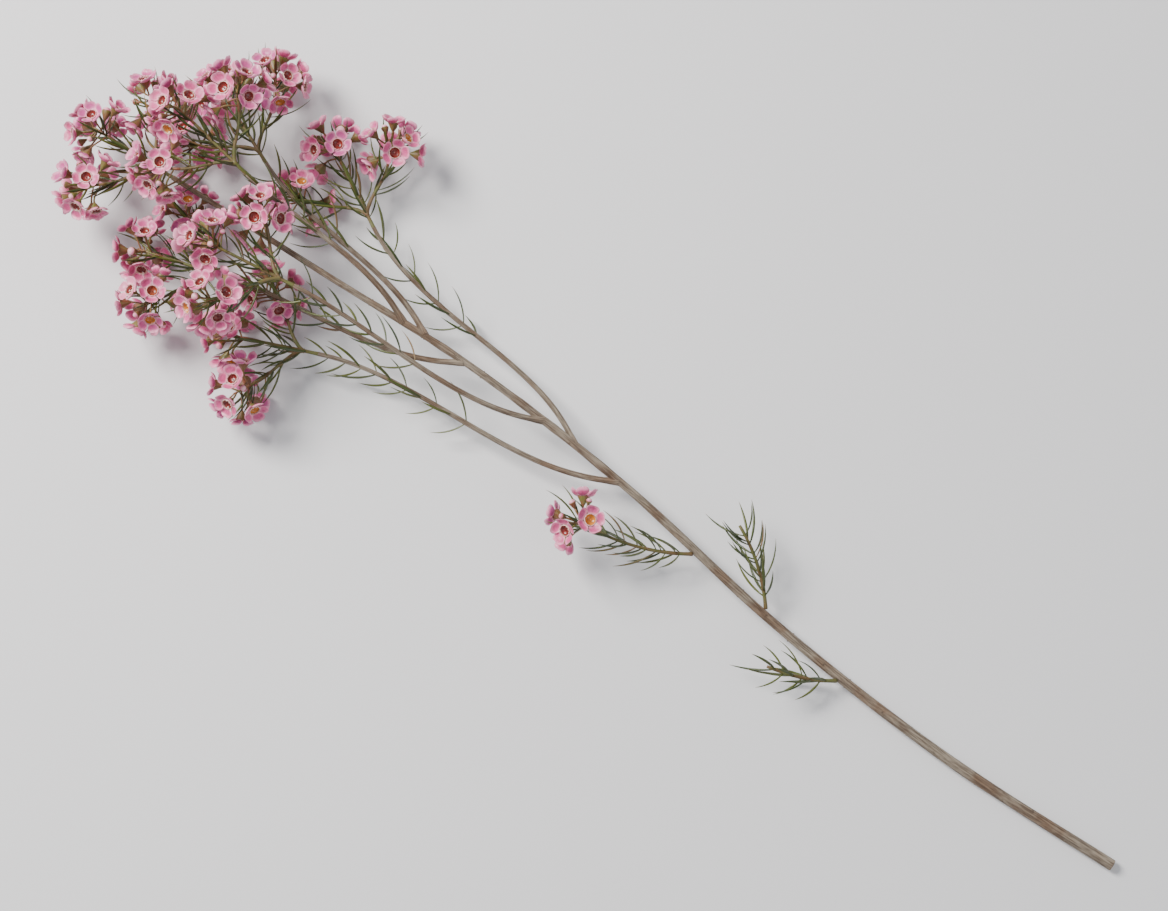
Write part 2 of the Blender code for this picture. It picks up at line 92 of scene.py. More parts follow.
# The needle leaves: three-sided, in pairs that turn a quarter from one to the next.
NEEDLE_LENGTH = 19 * MM
NEEDLE_RADIUS = 0.62 * MM
NEEDLE_LEAN = math.radians(48)
NEEDLE_PITCH = 10 * MM
SHOOT_NEEDLE_PITCH = 9 * MM
FIRST_NEEDLE = 5 * MM
NEEDLE_CURL = math.radians(22)
NEEDLE_TURN = math.radians(97)
NEEDLE_TRIES = 10
NEEDLE_SEED = 8
LAST_NEEDLE = 3 * MM
FLOOR_GAP = 0.8 * MM

# How much of a needle's lower half the twig or the stalks about it hide.
TWIG_HIDES = 0.3
STALKS_HIDE = 0.5

# A bloom: stalk, funnel-shaped base, five round petals in a shallow bowl, and a cup in the middle.
PETALS = 5
BLOOM_RADIUS = 6.5 * MM
PETAL_THICKNESS = 0.62 * MM
PETAL_HALF_ANGLE = math.radians(25)
NOTCH_RADIUS = 3.1 * MM
NOTCH_HEIGHT = 0.7 * MM
FUNNEL_LENGTH = 4.0 * MM
FUNNEL_RADIUS = 1.4 * MM
STALK_RADIUS = 0.5 * MM
LEAST_OPENING = 1.5 * MM
MOST_OPENING = 3.1 * MM

# A bud: its radius, and how much nearer to its head's middle it stands.
BUD_RADIUS = 1.9 * MM
BUD_SHORTER = 2.5 * MM

# A flower head: blooms on a dome about the tip of its twig.
RACHIS = 12 * MM
RACHIS_RADIUS = 0.75 * MM
HEAD_RADIUS = 13 * MM
HEAD_CAP = math.radians(104)
HEAD_SITES = 9
BUD_SITE = 3
HEAD_TRIES = 48
HEAD_MIDDLE = 0.6
MOST_LIFT = math.radians(75)
LIFT_HALVINGS = 24


@dataclass
class Spray:
    """A side branch: where it leaves the stem, where its twigs part, and the way they run.

    A spray that leaves nowhere grows from the top of the stem.
    """

    name: str
    leaves: float = None
    fork: tuple = None
    heading: tuple = None
    roll: float = 0
    twig_length: float = 31
    seed: int = 1


# Distances in millimetres from the middle of the cut end, headings as directions, rolls in degrees.
SPRAYS = (
    Spray("left_low", 285, (-31, 433, 15), (-0.42, 0.9, 0.02), 10, seed=11),
    Spray("right_low", 312, (33, 450, 15), (0.44, 0.89, 0.02), -12, seed=23),
    Spray("upper_low", 330, (-16, 455, 44), (-0.2, 0.95, 0.2), 16, seed=35),
    Spray("left_high", 376, (-28, 490, 17), (-0.32, 0.94, -0.02), 14, seed=47),
    Spray("right_high", 398, (27, 510, 17), (0.36, 0.93, -0.02), -14, seed=59),
    Spray("upper_high", 410, (12, 504, 48), (0.1, 0.96, 0.2), -12, seed=61),
    Spray("leader", roll=4, twig_length=32, seed=73),
)


@dataclass
class Shoot:
    """A short leafy shoot low on the stem, with a few blooms or none."""

    name: str
    leaves: float
    around: float
    length: float
    sites: int = 0
    seed: int = 1


# The angles go round the stem from its right-hand side over the top.
SHOOTS = (
    Shoot("low_1", 150, 150, 34, seed=101),
    Shoot("low_2", 196, 28, 40, seed=103),
    Shoot("low_3", 238, 160, 46, sites=5, seed=107),
)
SHOOT_LEAN = math.radians(46)


@dataclass
class Path:
    """A line through points, each with the direction of travel there."""

    points: list
    headings: list = field(default_factory=list)

    def __post_init__(self):
        if not self.headings:
            last = len(self.points) - 1
            for i in range(last + 1):
                ahead = self.points[min(i + 1, last)] - self.points[max(i - 1, 0)]
                self.headings.append(ahead.normalized())

    def at(self, distance):
        """The point and heading that far along the path."""
        for i in range(len(self.points) - 1):
            step = (self.points[i + 1] - self.points[i]).length
            if distance <= step or i == len(self.points) - 2:
                share = min(1.0, distance / step)
                point = self.points[i].lerp(self.points[i + 1], share)
                heading = self.headings[i].lerp(self.headings[i + 1], share)
                return point, heading.normalized()
            distance -= step

    def length(self):
        steps = zip(self.points, self.points[1:])
        return sum((b - a).length for a, b in steps)


def any_side(way):
    """A direction square to a heading."""
    return way.cross(UP if abs(way.z) < 0.9 else Vector((1, 0, 0))).normalized()


@dataclass
class Bloom:
    """A flower or a bud on its stalk."""

    root: Vector
    centre: Vector
    axis: Vector
    spin: float
    size: float
    opening: float
    is_bud: bool = False

    def frame(self):
        """Two directions across the bloom, turned by its spin."""
        across = any_side(self.axis)
        across.rotate(Quaternion(self.axis, self.spin))
        return across, self.axis.cross(across)

    def point(self, angle, radius, height):
        """A point of the bloom, by its angle and radius about the axis and its height along it."""
        across, other = self.frame()
        out = across * math.cos(angle) + other * math.sin(angle)
        return self.centre + (out * radius + self.axis * height) * self.size

    def funnel_base(self):
        return self.centre - self.axis * FUNNEL_LENGTH * self.size

    def tip(self, petal):
        """The underside of a petal's end."""
        return self.point(math.tau * petal / PETALS, BLOOM_RADIUS * 0.97, self.opening)

    def corner(self, petal, side):
        """One of the two upper corners of a petal's end."""
        angle = math.tau * petal / PETALS + side * PETAL_HALF_ANGLE
        return self.point(angle, BLOOM_RADIUS, self.opening + PETAL_THICKNESS)

    def outline(self):
        """The outermost points, for telling how low the bloom reaches."""
        petals = range(PETALS)
        corners = [self.corner(petal, side) for petal in petals for side in (-1, 1)]
        return corners + [self.tip(petal) for petal in petals]


@dataclass
class Head:
    """A flower head: its twig's end, the way it faces, and its blooms."""

    name: str
    hub: Vector
    axis: Vector
    blooms: list

    def middle(self):
        return self.hub + self.axis * RACHIS * HEAD_MIDDLE


@dataclass
class Needle:
    """A needle leaf, from its root on a twig's axis over its bend to its tip."""

    root: Vector
    bend: Vector
    tip: Vector

    def rods(self, hidden):
        """The space that the needle fills, but for a share of its lower half."""
        foot = self.root.lerp(self.bend, hidden)
        return [(foot, self.bend, NEEDLE_RADIUS), (self.bend, self.tip, NEEDLE_RADIUS)]

    def is_above_floor(self):
        return min(self.bend.z, self.tip.z) > FLOOR_GAP


class Clearance:
    """Keeps rods, the round-ended bars that stand for what is placed, and tells what is free."""

    GAP = 0.35 * MM

    def __init__(self):
        self.owners = []
        self.kinds = []
        self.rods = np.zeros((0, 7))

    def add(self, owner, kind, rods):
        self.owners += [owner] * len(rods)
        self.kinds += [kind] * len(rods)
        rows = [[*start, *end, radius] for start, end, radius in rods]
        self.rods = np.vstack([self.rods, rows])

    def is_clear(self, rods, counts):
        """True if no rod comes nearer than the gap to a kept rod whose owner and kind count."""
        chosen = [counts(owner, kind) for owner, kind in zip(self.owners, self.kinds)]
        kept = self.rods[np.array(chosen, bool)]
        for start, end, radius in rods:
            apart = distances(np.array(start), np.array(end), kept[:, :3], kept[:, 3:6])
            if (apart < kept[:, 6] + radius + self.GAP).any():
                return False
        return True


def distances(start, end, starts, ends):
    """The shortest distance from one line segment to each of many."""
    along, alongs, between = end - start, ends - starts, start - starts
    a, e = along @ along + 1e-12, (alongs**2).sum(1) + 1e-12
    b, c, f = alongs @ along, between @ along, (alongs * between).sum(1)
    s = np.clip((b * f - c * e) / np.maximum(a * e - b * b, 1e-14), 0, 1)
    t = np.clip((b * s + f) / e, 0, 1)
    s = np.clip((b * t - c) / a, 0, 1)
    gap = between + s[:, None] * along - t[:, None] * alongs
    return np.linalg.norm(gap, axis=1)


def curve_path(start, start_way, end, end_way, steps):
    """A smooth bend from one point and heading to another."""
    reach = (end - start).length / 3
    knots = (start, start + start_way * reach, end - end_way * reach, end)
    points, headings = [], []
    for i in range(steps + 1):
        t = i / steps
        u = 1 - t
        points.append(
            knots[0] * u**3 + knots[1] * 3 * u * u * t + knots[2] * 3 * u * t * t + knots[3] * t**3
        )
        slope = (knots[1] - knots[0]) * u * u + (knots[2] - knots[1]) * 2 * u * t
        headings.append((slope + (knots[3] - knots[2]) * t * t).normalized())
    return Path(points, headings)


def through(knots, steps):
    """A smooth path through every knot, with that many steps from one to the next."""
    knots = [Vector(k) * MM for k in knots]
    ends = [knots[0] * 2 - knots[1]] + knots + [knots[-1] * 2 - knots[-2]]
    points = []
    for i in range(1, len(ends) - 2):
        before, a, b, after = ends[i - 1 : i + 3]
        for step in range(steps):
            t = step / steps
            points.append(
                a
                + (b - before) * (t / 2)
                + (before * 2 - a * 5 + b * 4 - after) * (t * t / 2)
                + (a * 3 - before - b * 3 + after) * (t**3 / 2)
            )
    return Path(points + [knots[-1]])


def leaning(way, sideways, lean):
    """A heading turned away from another by an angle, towards a side."""
    side = (sideways - way * sideways.dot(way)).normalized()
    return (way * math.cos(lean) + side * math.sin(lean)).normalized()


def fork_of(spray, stem):
    """Where the twigs of a spray part, and the way it runs there."""
    if spray.fork is None:
        return stem.points[-1], stem.headings[-1]
    return Vector(spray.fork) * MM, Vector(spray.heading).normalized()


def branch_path(spray, stem, steps=BRANCH_STEPS):
    """The wood of a side branch, from inside the stem to where its twigs part."""
    start, way = stem.at(spray.leaves * MM)
    fork, heading = fork_of(spray, stem)
    return curve_path(start, leaning(way, fork - start, BRANCH_LEAN), fork, heading, steps)


def twig_paths(spray, stem, steps=TWIG_STEPS):
    """The three green twigs of a spray. The middle one runs on from the wood and bears the rest."""
    fork, heading = fork_of(spray, stem)
    side = any_side(heading)
    side.rotate(Quaternion(heading, math.radians(spray.roll)))
    start = fork + heading * SEAM
    draw = random.Random(spray.seed)
    middle_end = start + heading * spray.twig_length * MM * draw.uniform(1.0, 1.12)
    paths = [curve_path(start, heading, middle_end, heading, steps)]
    for hand in (-1, 1):
        way = leaning(heading, side * hand, TWIG_LEAN)
        first = leaning(heading, side * hand, TWIG_LEAN * 0.7)
        last = leaning(heading, side * hand, TWIG_LEAN * draw.uniform(0.9, 1.2))
        end = start + way * spray.twig_length * MM * draw.uniform(0.88, 1.02)
        paths.append(curve_path(start + heading * NECK, first, end, last, steps))
    return paths


def shoot_path(shoot, stem, steps=TWIG_STEPS):
    """A short green shoot that stands on the side of the stem."""
    distance = shoot.leaves * MM
    point, way = stem.at(distance)
    side = any_side(way)
    side.rotate(Quaternion(way, -math.radians(shoot.around)))
    bark = BUTT_RADIUS + (STEM_TOP_RADIUS - BUTT_RADIUS) * distance / stem.length()
    base = point + side * (bark + SEAM + TWIG_RADIUS * math.cos(SHOOT_LEAN))
    end = base + leaning(way, side, SHOOT_LEAN * 0.7) * shoot.length * MM
    start_way, end_way = leaning(way, side, SHOOT_LEAN), leaning(way, side, SHOOT_LEAN * 0.4)
    return curve_path(base, start_way, end, end_way, steps)


def petal_rods(bloom):
    """The space that a bloom's petals fill."""
    if bloom.is_bud:
        tip = bloom.centre + bloom.axis * BUD_RADIUS * bloom.size
        return [(bloom.centre, tip, BUD_RADIUS * bloom.size)]
    rods = []
    for petal in range(PETALS):
        angle = math.tau * petal / PETALS
        inner = bloom.point(angle, NOTCH_RADIUS * 0.7, NOTCH_HEIGHT)
        outer = bloom.point(angle, BLOOM_RADIUS * 0.73, bloom.opening * 0.8 + PETAL_THICKNESS)
        rods.append((inner, outer, BLOOM_RADIUS * 0.33 * bloom.size))
    return rods


def stalk_rods(bloom):
    """The space that a bloom's stalk and funnel fill."""
    base = bloom.funnel_base()
    near_root = bloom.root.lerp(base, 0.25)
    return [(near_root, base, STALK_RADIUS), (base, bloom.centre, FUNNEL_RADIUS)]


def set_bloom(head, root_share, way, reach, draw, is_bud):
    """A bloom that lies that way from the head's middle, rooted that far along the rachis."""
    root = head.hub + head.axis * RACHIS * root_share
    size = draw.uniform(0.92, 1.08)
    if is_bud:
        size = draw.uniform(0.85, 1.1)
    opening = draw.uniform(LEAST_OPENING, MOST_OPENING)
    centre = head.middle() + way * reach
    return Bloom(root, centre, way, draw.uniform(0, math.tau), size, opening, is_bud)


def lift_off_floor(head, bloom, reach):
    """Turns a bloom that would dip under the surface up about its head until it just touches."""
    middle = head.middle()
    way = bloom.axis.copy()
    axle = way.cross(UP)
    if axle.length < 1e-6:
        return False

    def lowest(angle):
        bloom.axis = way.copy()
        bloom.axis.rotate(Quaternion(axle.normalized(), angle))
        bloom.centre = middle + bloom.axis * reach
        return min(point.z for point in bloom.outline())

    low, high = 0.0, MOST_LIFT
    if lowest(low) >= 0:
        return True
    if lowest(high) < 0:
        return False
    for _ in range(LIFT_HALVINGS):
        middle_angle = (low + high) / 2
        if lowest(middle_angle) < 0:
            low = middle_angle
        else:
            high = middle_angle
    return lowest(high) >= 0


def grow_head(name, twig, sites, has_bud, seed, clearance):
    """A head of blooms on a dome, each turned, raised or left out where something is in its way."""
    axis = twig.headings[-1]
    hub = twig.points[-1] + axis * SEAM
    head = Head(name, hub, axis, [])
    draw = random.Random(seed)
    turn = draw.uniform(0, math.tau)
    side = any_side(axis)
    clearance.add(name, "rachis", [(hub, hub + axis * RACHIS, TWIG_TIP_RADIUS)])
    for site in range(sites):
        share = math.sqrt((site + 0.35) / sites)
        is_bud = has_bud and site == BUD_SITE
        for attempt in range(HEAD_TRIES):
            stray = 0.1 + 0.06 * attempt
            lean = HEAD_CAP * share + draw.uniform(-stray, stray)
            around = turn + site * GOLDEN_ANGLE + draw.uniform(-stray, stray)
            sideways = side.copy()
            sideways.rotate(Quaternion(axis, around))
            way = leaning(axis, sideways, lean)
            reach = HEAD_RADIUS * draw.uniform(0.93, 1.07) - (BUD_SHORTER if is_bud else 0)
            root_share = 0.94 - 0.84 * site / sites
            bloom = set_bloom(head, root_share, way, reach, draw, is_bud)
            if not lift_off_floor(head, bloom, reach):
                continue
            petals, stalk = petal_rods(bloom), stalk_rods(bloom)
            if not clearance.is_clear(petals, lambda owner, kind: True):
                continue
            if not clearance.is_clear(stalk, lambda owner, kind: owner != name or kind == "petals"):
                continue
            clearance.add(name, "petals", petals)
            clearance.add(name, "stalk", stalk)
            head.blooms.append(bloom)
            break
    return head


def bent_needle(root, way, sideways, lean, length):
    """A needle that leans off a heading and curls back towards it half-way."""
    bend = root + leaning(way, sideways, lean) * length * 0.5
    return Needle(root, bend, bend + leaning(way, sideways, lean - NEEDLE_CURL) * length * 0.5)


def grow_needles(owner, path, start, pitch, turn, clearance, draw):
    """Pairs of needles along a twig, each bent clear of what it would cross, or left out."""
    needles = []
    reach = path.length() - start - LAST_NEEDLE
    for pair in range(int(reach / pitch) + 1):
        point, way = path.at(start + pair * pitch)
        side = any_side(way)
        for half in (0, 1):
            for attempt in range(NEEDLE_TRIES):
                around = turn + pair * NEEDLE_TURN + half * math.pi
                around += draw.uniform(-0.2, 0.2) * (1 + attempt)
                lean = NEEDLE_LEAN * draw.uniform(0.8, 1.15)
                length = NEEDLE_LENGTH * draw.uniform(0.8, 1.2)
                sideways = side.copy()
                sideways.rotate(Quaternion(way, around))
                needle = bent_needle(point, way, sideways, lean, length)
                rods = needle.rods(TWIG_HIDES)
                free = clearance.is_clear(rods, lambda other, kind: other != owner)
                if needle.is_above_floor() and free:
                    clearance.add(owner, "needle", rods)
                    needles.append(needle)
                    break
    return needles


def path_rods(path, radius):
    """The space that a bar along a path fills."""
    return [(a, b, radius) for a, b in zip(path.points, path.points[1:])]


@dataclass
class Layout:
    """Where everything grows, measured from the middle of the cut end."""

    stem: Path
    branches: dict = field(default_factory=dict)
    twigs: dict = field(default_factory=dict)
    needles: dict = field(default_factory=dict)
    heads: list = field(default_factory=list)


# Growth too fine for the solids: closer needles, more among the blooms and on the wood, and buds.
FINE_PITCH = 4.6 * MM
WOOD_PITCH = 8 * MM
BARE_WOOD = 0.5
HEAD_NEEDLES = 9
HEAD_NEEDLE_TRIES = 27
SMALL_BUDS = 3
BUD_TRIES = 30
BUD_FLOOR_GAP = 3 * MM
FINE_NEEDLE_SEED = 29
SMALL_BUD_SEED = 31


def head_needles(head, clearance, draw):
    """Needles that stand out between the stalks of a head."""
    needles = []
    side = any_side(head.axis)
    for _ in range(HEAD_NEEDLE_TRIES):
        if len(needles) == HEAD_NEEDLES:
            break
        root = head.hub + head.axis * RACHIS * draw.uniform(0.0, 0.8)
        sideways = side.copy()
        sideways.rotate(Quaternion(head.axis, draw.uniform(0, math.tau)))
        lean = math.radians(draw.uniform(25, 85))
        length = NEEDLE_LENGTH * draw.uniform(0.75, 1.15)
        needle = bent_needle(root, head.axis, sideways, lean, length)
        rods = needle.rods(STALKS_HIDE)
        free = clearance.is_clear(rods, lambda other, kind: kind not in ("rachis", "stalk"))
        if needle.is_above_floor() and free:
            clearance.add(head.name, "needle", rods)
            needles.append(needle)
    return needles


def add_fine_needles(grown, clearance):
    """Fills the gaps between the needles of the solids, and adds more on wood and heads."""
    draw = random.Random(FINE_NEEDLE_SEED)
    for name, twigs in grown.twigs.items():
        for number, twig in enumerate(twigs):
            start = FIRST_NEEDLE * (2 if number else 1) + FINE_PITCH / 2
            turn = draw.uniform(0, math.tau)
            needles = grow_needles(name, twig, start, FINE_PITCH, turn, clearance, draw)
            grown.needles[name] += needles
    for name, path in grown.branches.items():
        start = path.length() * BARE_WOOD
        turn = draw.uniform(0, math.tau)
        needles = grow_needles("woody_stem", path, start, WOOD_PITCH, turn, clearance, draw)
        grown.needles[f"leafy_spray_{name}"] += needles
    for head in grown.heads:
        owner = head.name.replace("flower_head_", "leafy_spray_").rsplit("_", 1)[0]
        if owner not in grown.needles:
            owner = head.name.replace("flower_head_", "leafy_shoot_")
        grown.needles[owner] += head_needles(head, clearance, draw)


def add_small_buds(grown, clearance):
    """Small buds wherever a head has room for them."""
    draw = random.Random(SMALL_BUD_SEED)
    for head in grown.heads:
        side = any_side(head.axis)
        found = 0
        for _ in range(BUD_TRIES):
            sideways = side.copy()
            sideways.rotate(Quaternion(head.axis, draw.uniform(0, math.tau)))
            way = leaning(head.axis, sideways, HEAD_CAP * draw.uniform(0.1, 0.95))
            reach = HEAD_RADIUS * draw.uniform(0.72, 0.98)
            bud = set_bloom(head, draw.uniform(0.25, 0.9), way, reach, draw, True)
            bud.size *= draw.uniform(0.6, 0.85)
            rods = petal_rods(bud) + stalk_rods(bud)
            if bud.centre.z < BUD_FLOOR_GAP:
                continue
            if clearance.is_clear(rods, lambda owner, kind: owner != head.name or kind == "petals"):
                clearance.add(head.name, "petals", petal_rods(bud))
                head.blooms.append(bud)
                found += 1
            if found == SMALL_BUDS:
                break


def fine_twigs(grown):
    """The twigs of each spray and shoot, as smooth curves."""
    paths = {}
    for spray in SPRAYS:
        paths[f"leafy_spray_{spray.name}"] = twig_paths(spray, grown.stem, FINE_STEPS)
    for shoot in SHOOTS:
        paths[f"leafy_shoot_{shoot.name}"] = [shoot_path(shoot, grown.stem, FINE_STEPS)]
    return paths


@cache
def layout():
    """The whole stem: wood, then twigs, then flower heads, and needles where there is room."""
    grown = Layout(through(STEM_ROUTE, STEM_STEPS))
    stem = grown.stem
    clearance = Clearance()
    clearance.add("woody_stem", "wood", path_rods(stem, BUTT_RADIUS))
    for spray in SPRAYS:
        if spray.leaves is not None:
            grown.branches[spray.name] = branch_path(spray, stem)
            rods = path_rods(grown.branches[spray.name], BRANCH_RADIUS)
            clearance.add("woody_stem", "wood", rods)
        grown.twigs[f"leafy_spray_{spray.name}"] = twig_paths(spray, stem)
    for shoot in SHOOTS:
        grown.twigs[f"leafy_shoot_{shoot.name}"] = [shoot_path(shoot, stem)]
    for name, twigs in grown.twigs.items():
        for twig in twigs:
            clearance.add(name, "twig", path_rods(twig, TWIG_RADIUS))
    for spray in SPRAYS:
        for number, twig in enumerate(grown.twigs[f"leafy_spray_{spray.name}"], 1):
            name = f"flower_head_{spray.name}_{number}"
            seed = spray.seed + number
            grown.heads.append(grow_head(name, twig, HEAD_SITES, number == 1, seed, clearance))
    for shoot in SHOOTS:
        if shoot.sites:
            twig = grown.twigs[f"leafy_shoot_{shoot.name}"][0]
            name = f"flower_head_{shoot.name}"
            grown.heads.append(grow_head(name, twig, shoot.sites, False, shoot.seed, clearance))
    draw = random.Random(NEEDLE_SEED)
    for name, twigs in grown.twigs.items():
        pitch = NEEDLE_PITCH if name.startswith("leafy_spray") else SHOOT_NEEDLE_PITCH
        grown.needles[name] = []
        for number, twig in enumerate(twigs):
            start = FIRST_NEEDLE * (2 if number else 1)
            turn = draw.uniform(0, math.tau)
            grown.needles[name] += grow_needles(name, twig, start, pitch, turn, clearance, draw)
    add_fine_needles(grown, clearance)
    add_small_buds(grown, clearance)
    return grown


# The growth map of every shape runs round it or across it in u, and from its root to its tip in v.
GROWTH_MAP = "growth"
TONE = "tone"
AGE = "age"


@dataclass
class Pattern:
    """The faces of a kind of shape, with each corner's place in the growth map."""

    faces: list

    def joined(self, other, offset):
        moved = [(corners + offset, places) for corners, places in other.faces]
        return Pattern(self.faces + moved)


def net(us, vs, closed=False, flip=False):
    """Quads over rows and columns of points. A closed net joins its last column to its first."""
    rows, columns = len(vs), len(us) - (1 if closed else 0)
    corners, places = [], []
    for i in range(rows - 1):
        for j in range(len(us) - 1):
            nearby = ((i, j), (i, j + 1), (i + 1, j + 1), (i + 1, j))
            if flip:
                nearby = nearby[::-1]
            corners.append([row * columns + column % columns for row, column in nearby])
            places.append([(us[column], vs[row]) for row, column in nearby])
    return Pattern([(np.array(corners), np.array(places, float))])


def lid(sides, start, v, outward=True):
    """One many-sided face over a ring of points."""
    order = range(sides) if outward else reversed(range(sides))
    corners = [start + k for k in order]
    return Pattern([(np.array([corners]), np.full((1, sides, 2), (0.5, v)))])


class Growth:
    """Gathers shapes into one mesh, each with its finish, its tone and its age."""

    def __init__(self):
        self.points, self.tones, self.ages = [], [], []
        self.faces, self.places, self.finishes = [], [], []
        self.count = 0

    def add(self, points, pattern, finish, tone=0.5, age=0.5):
        for corners, places in pattern.faces:
            self.faces += (corners + self.count).tolist()
            self.places.append(places.reshape(-1, 2))
            self.finishes += [finish] * len(corners)
        self.points.append(points)
        self.tones += [tone] * len(points)
        self.ages += [age] * len(points)
        self.count += len(points)

    def piece(self, name, materials, *nodes):
        """Makes the object, which rides on the part and stands for these nodes."""
        mesh = bpy.data.meshes.new(name)
        points = np.vstack(self.points) - np.array(BOX_MIDDLE)
        mesh.from_pydata(points.tolist(), [], self.faces)
        mesh.uv_layers.new(name=GROWTH_MAP).data.foreach_set("uv", np.vstack(self.places).ravel())
        for label, values in ((TONE, self.tones), (AGE, self.ages)):
            mesh.attributes.new(label, "FLOAT", "POINT").data.foreach_set("value", values)
        mesh.polygons.foreach_set("material_index", self.finishes)
        mesh.polygons.foreach_set("use_smooth", [True] * len(self.finishes))
        for material in materials:
            mesh.materials.append(material)
        made = bpy.data.objects.new(name, mesh)
        bpy.context.scene.collection.objects.link(made)
        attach(made, "root")
        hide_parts(*nodes)
        return made


def sweep(points, headings, widths, section, side):
    """Copies of a cross-section along a line: an array of rows of points."""
    rows = []
    for point, way, width in zip(points, headings, widths):
        side = (side - way * side.dot(way)).normalized()
        other = way.cross(side)
        frame_here = np.array([side, other])
        rows.append(np.array(point) + (np.array(section) * width) @ frame_here)
    return np.vstack(rows)


def round_section(sides):
    angles = np.arange(sides) * math.tau / sides
    return np.column_stack([np.cos(angles), np.sin(angles)])


def rod_pattern(sides, rows):
    """The faces of a rod with closed ends."""
    us = np.linspace(0, 1, sides + 1)
    vs = np.linspace(0, 1, rows)
    pattern = net(us, vs, closed=True)
    pattern = pattern.joined(lid(sides, 0, 0.0, outward=False), 0)
    return pattern.joined(lid(sides, (rows - 1) * sides, 1.0), 0)


def ring_of_points(angles, radius, height):
    """Points about the z axis, whose radius and height may change on the way round."""
    heights = np.broadcast_to(height, angles.shape)
    return np.column_stack([np.cos(angles) * radius, np.sin(angles) * radius, heights])


def turned(profile, sides, flute=0.0, ribs=0):
    """Points of a turned shape, its profile given as radius and height, with ribs round it."""
    angles = np.arange(sides) * math.tau / sides
    swell = 1 + flute * np.cos(angles * ribs)
    rows = [ring_of_points(angles, radius * swell, height) for radius, height in profile]
    return np.vstack(rows)


def turned_pattern(profile, sides, capped=True):
    """The faces of a turned shape, with a lid over its last ring or open there."""
    heights = np.linspace(0, 1, len(profile))
    pattern = net(np.linspace(0, 1, sides + 1), heights, closed=True)
    if capped:
        pattern = pattern.joined(lid(sides, (len(profile) - 1) * sides, 1.0), 0)
    return pattern


# A bloom's own parts, measured from the middle of its petals' ring, with z along its axis. A
# petal's rows and columns are shares of its length and half-width. A profile is a list of radius
# and height in millimetres.
PETAL_ROWS = np.array([0, 0.1, 0.22, 0.36, 0.5, 0.64, 0.76, 0.86, 0.94, 0.985])
PETAL_COLUMNS = np.array([-1, -0.82, -0.5, -0.2, 0.2, 0.5, 0.82, 1])
PETAL_BELLY = 0.5
PETAL_ROOT = 2.6 * MM
PETAL_TIP = BLOOM_RADIUS + 0.1 * MM
PETAL_CLAW = 0.58
PETAL_FOOT = 0.45 * MM
PETAL_SIDE_RISE = 0.6 * MM
PETAL_DIP = 0.35 * MM
PETAL_RUFFLE = 0.13 * MM
RUFFLES_ACROSS = 4.2
RUFFLES_ALONG = 7
EDGE_THINNING = 0.6

# How far a petal's end curls in, in millimetres, how far it twists, and how far it strays from its
# place in the ring, in degrees.
PETAL_CURL = (0.25, 0.75)
PETAL_TWIST = (6, 10)
PETAL_STRAY = 4
CALYX_PROFILE = (
    (0.45, -4.2),
    (0.62, -3.9),
    (0.95, -3.3),
    (1.4, -2.5),
    (1.9, -1.6),
    (2.4, -0.7),
    (2.8, 0.1),
    (2.85, 0.5),
    (2.5, 0.6),
)
CUP_PROFILE = ((2.5, 0.6), (2.3, 0.15), (1.85, -0.35), (1.25, -0.7), (0.7, -0.8), (0.3, -0.75))
STYLE_PROFILE = ((0.3, -0.8), (0.18, -0.2), (0.15, 0.8), (0.26, 0.95), (0.3, 1.15), (0.16, 1.3))
BUD_PROFILE = (
    (1.5, -0.6),
    (1.86, 0.0),
    (1.98, 0.6),
    (1.86, 1.2),
    (1.5, 1.75),
    (0.95, 2.15),
    (0.35, 2.35),
)
CALYX_SIDES, CUP_SIDES, STYLE_SIDES, BUD_SIDES = 20, 15, 6, 15
CALYX_FLUTE = 0.05
CALYX_RIBS = 10
BUD_FLUTE = 0.035
BUD_NARROWING = 0.8
STALK_ROWS, STALK_SIDES = 8, 6
STALK_WIDTHS = (0.36, 0.5)
RACHIS_TIP_RADIUS = RACHIS_RADIUS * 0.6

# The crown of stamens, in millimetres where no unit is given. Each level lies that far out from the
# ring and at that share of a tooth's height.
RING_TEETH = 10
RING_RADIUS = 2.62 * MM
RING_FOOT = 0.5 * MM
TOOTH_HEIGHT, GAP_HEIGHT = 1.0, 0.45
RING_LEVELS = ((0.14, 0.0), (0.16, 0.6), (-0.16, 1.0), (-0.08, 0.5), (-0.02, 0.0))

# An anther is a grain with four corners round its middle, one on top and one below.
GRAIN = np.array([(1, 0, 0), (0, 1, 0), (-1, 0, 0), (0, -1, 0), (0, 0, 1), (0, 0, -1)])
GRAIN_SIZE = (0.16, 0.22)
ANTHER_OUT = RING_RADIUS - 0.26 * MM
ANTHER_HEIGHT = 1.45 * MM


def scaled(profile):
    return [(radius * MM, height * MM) for radius, height in profile]


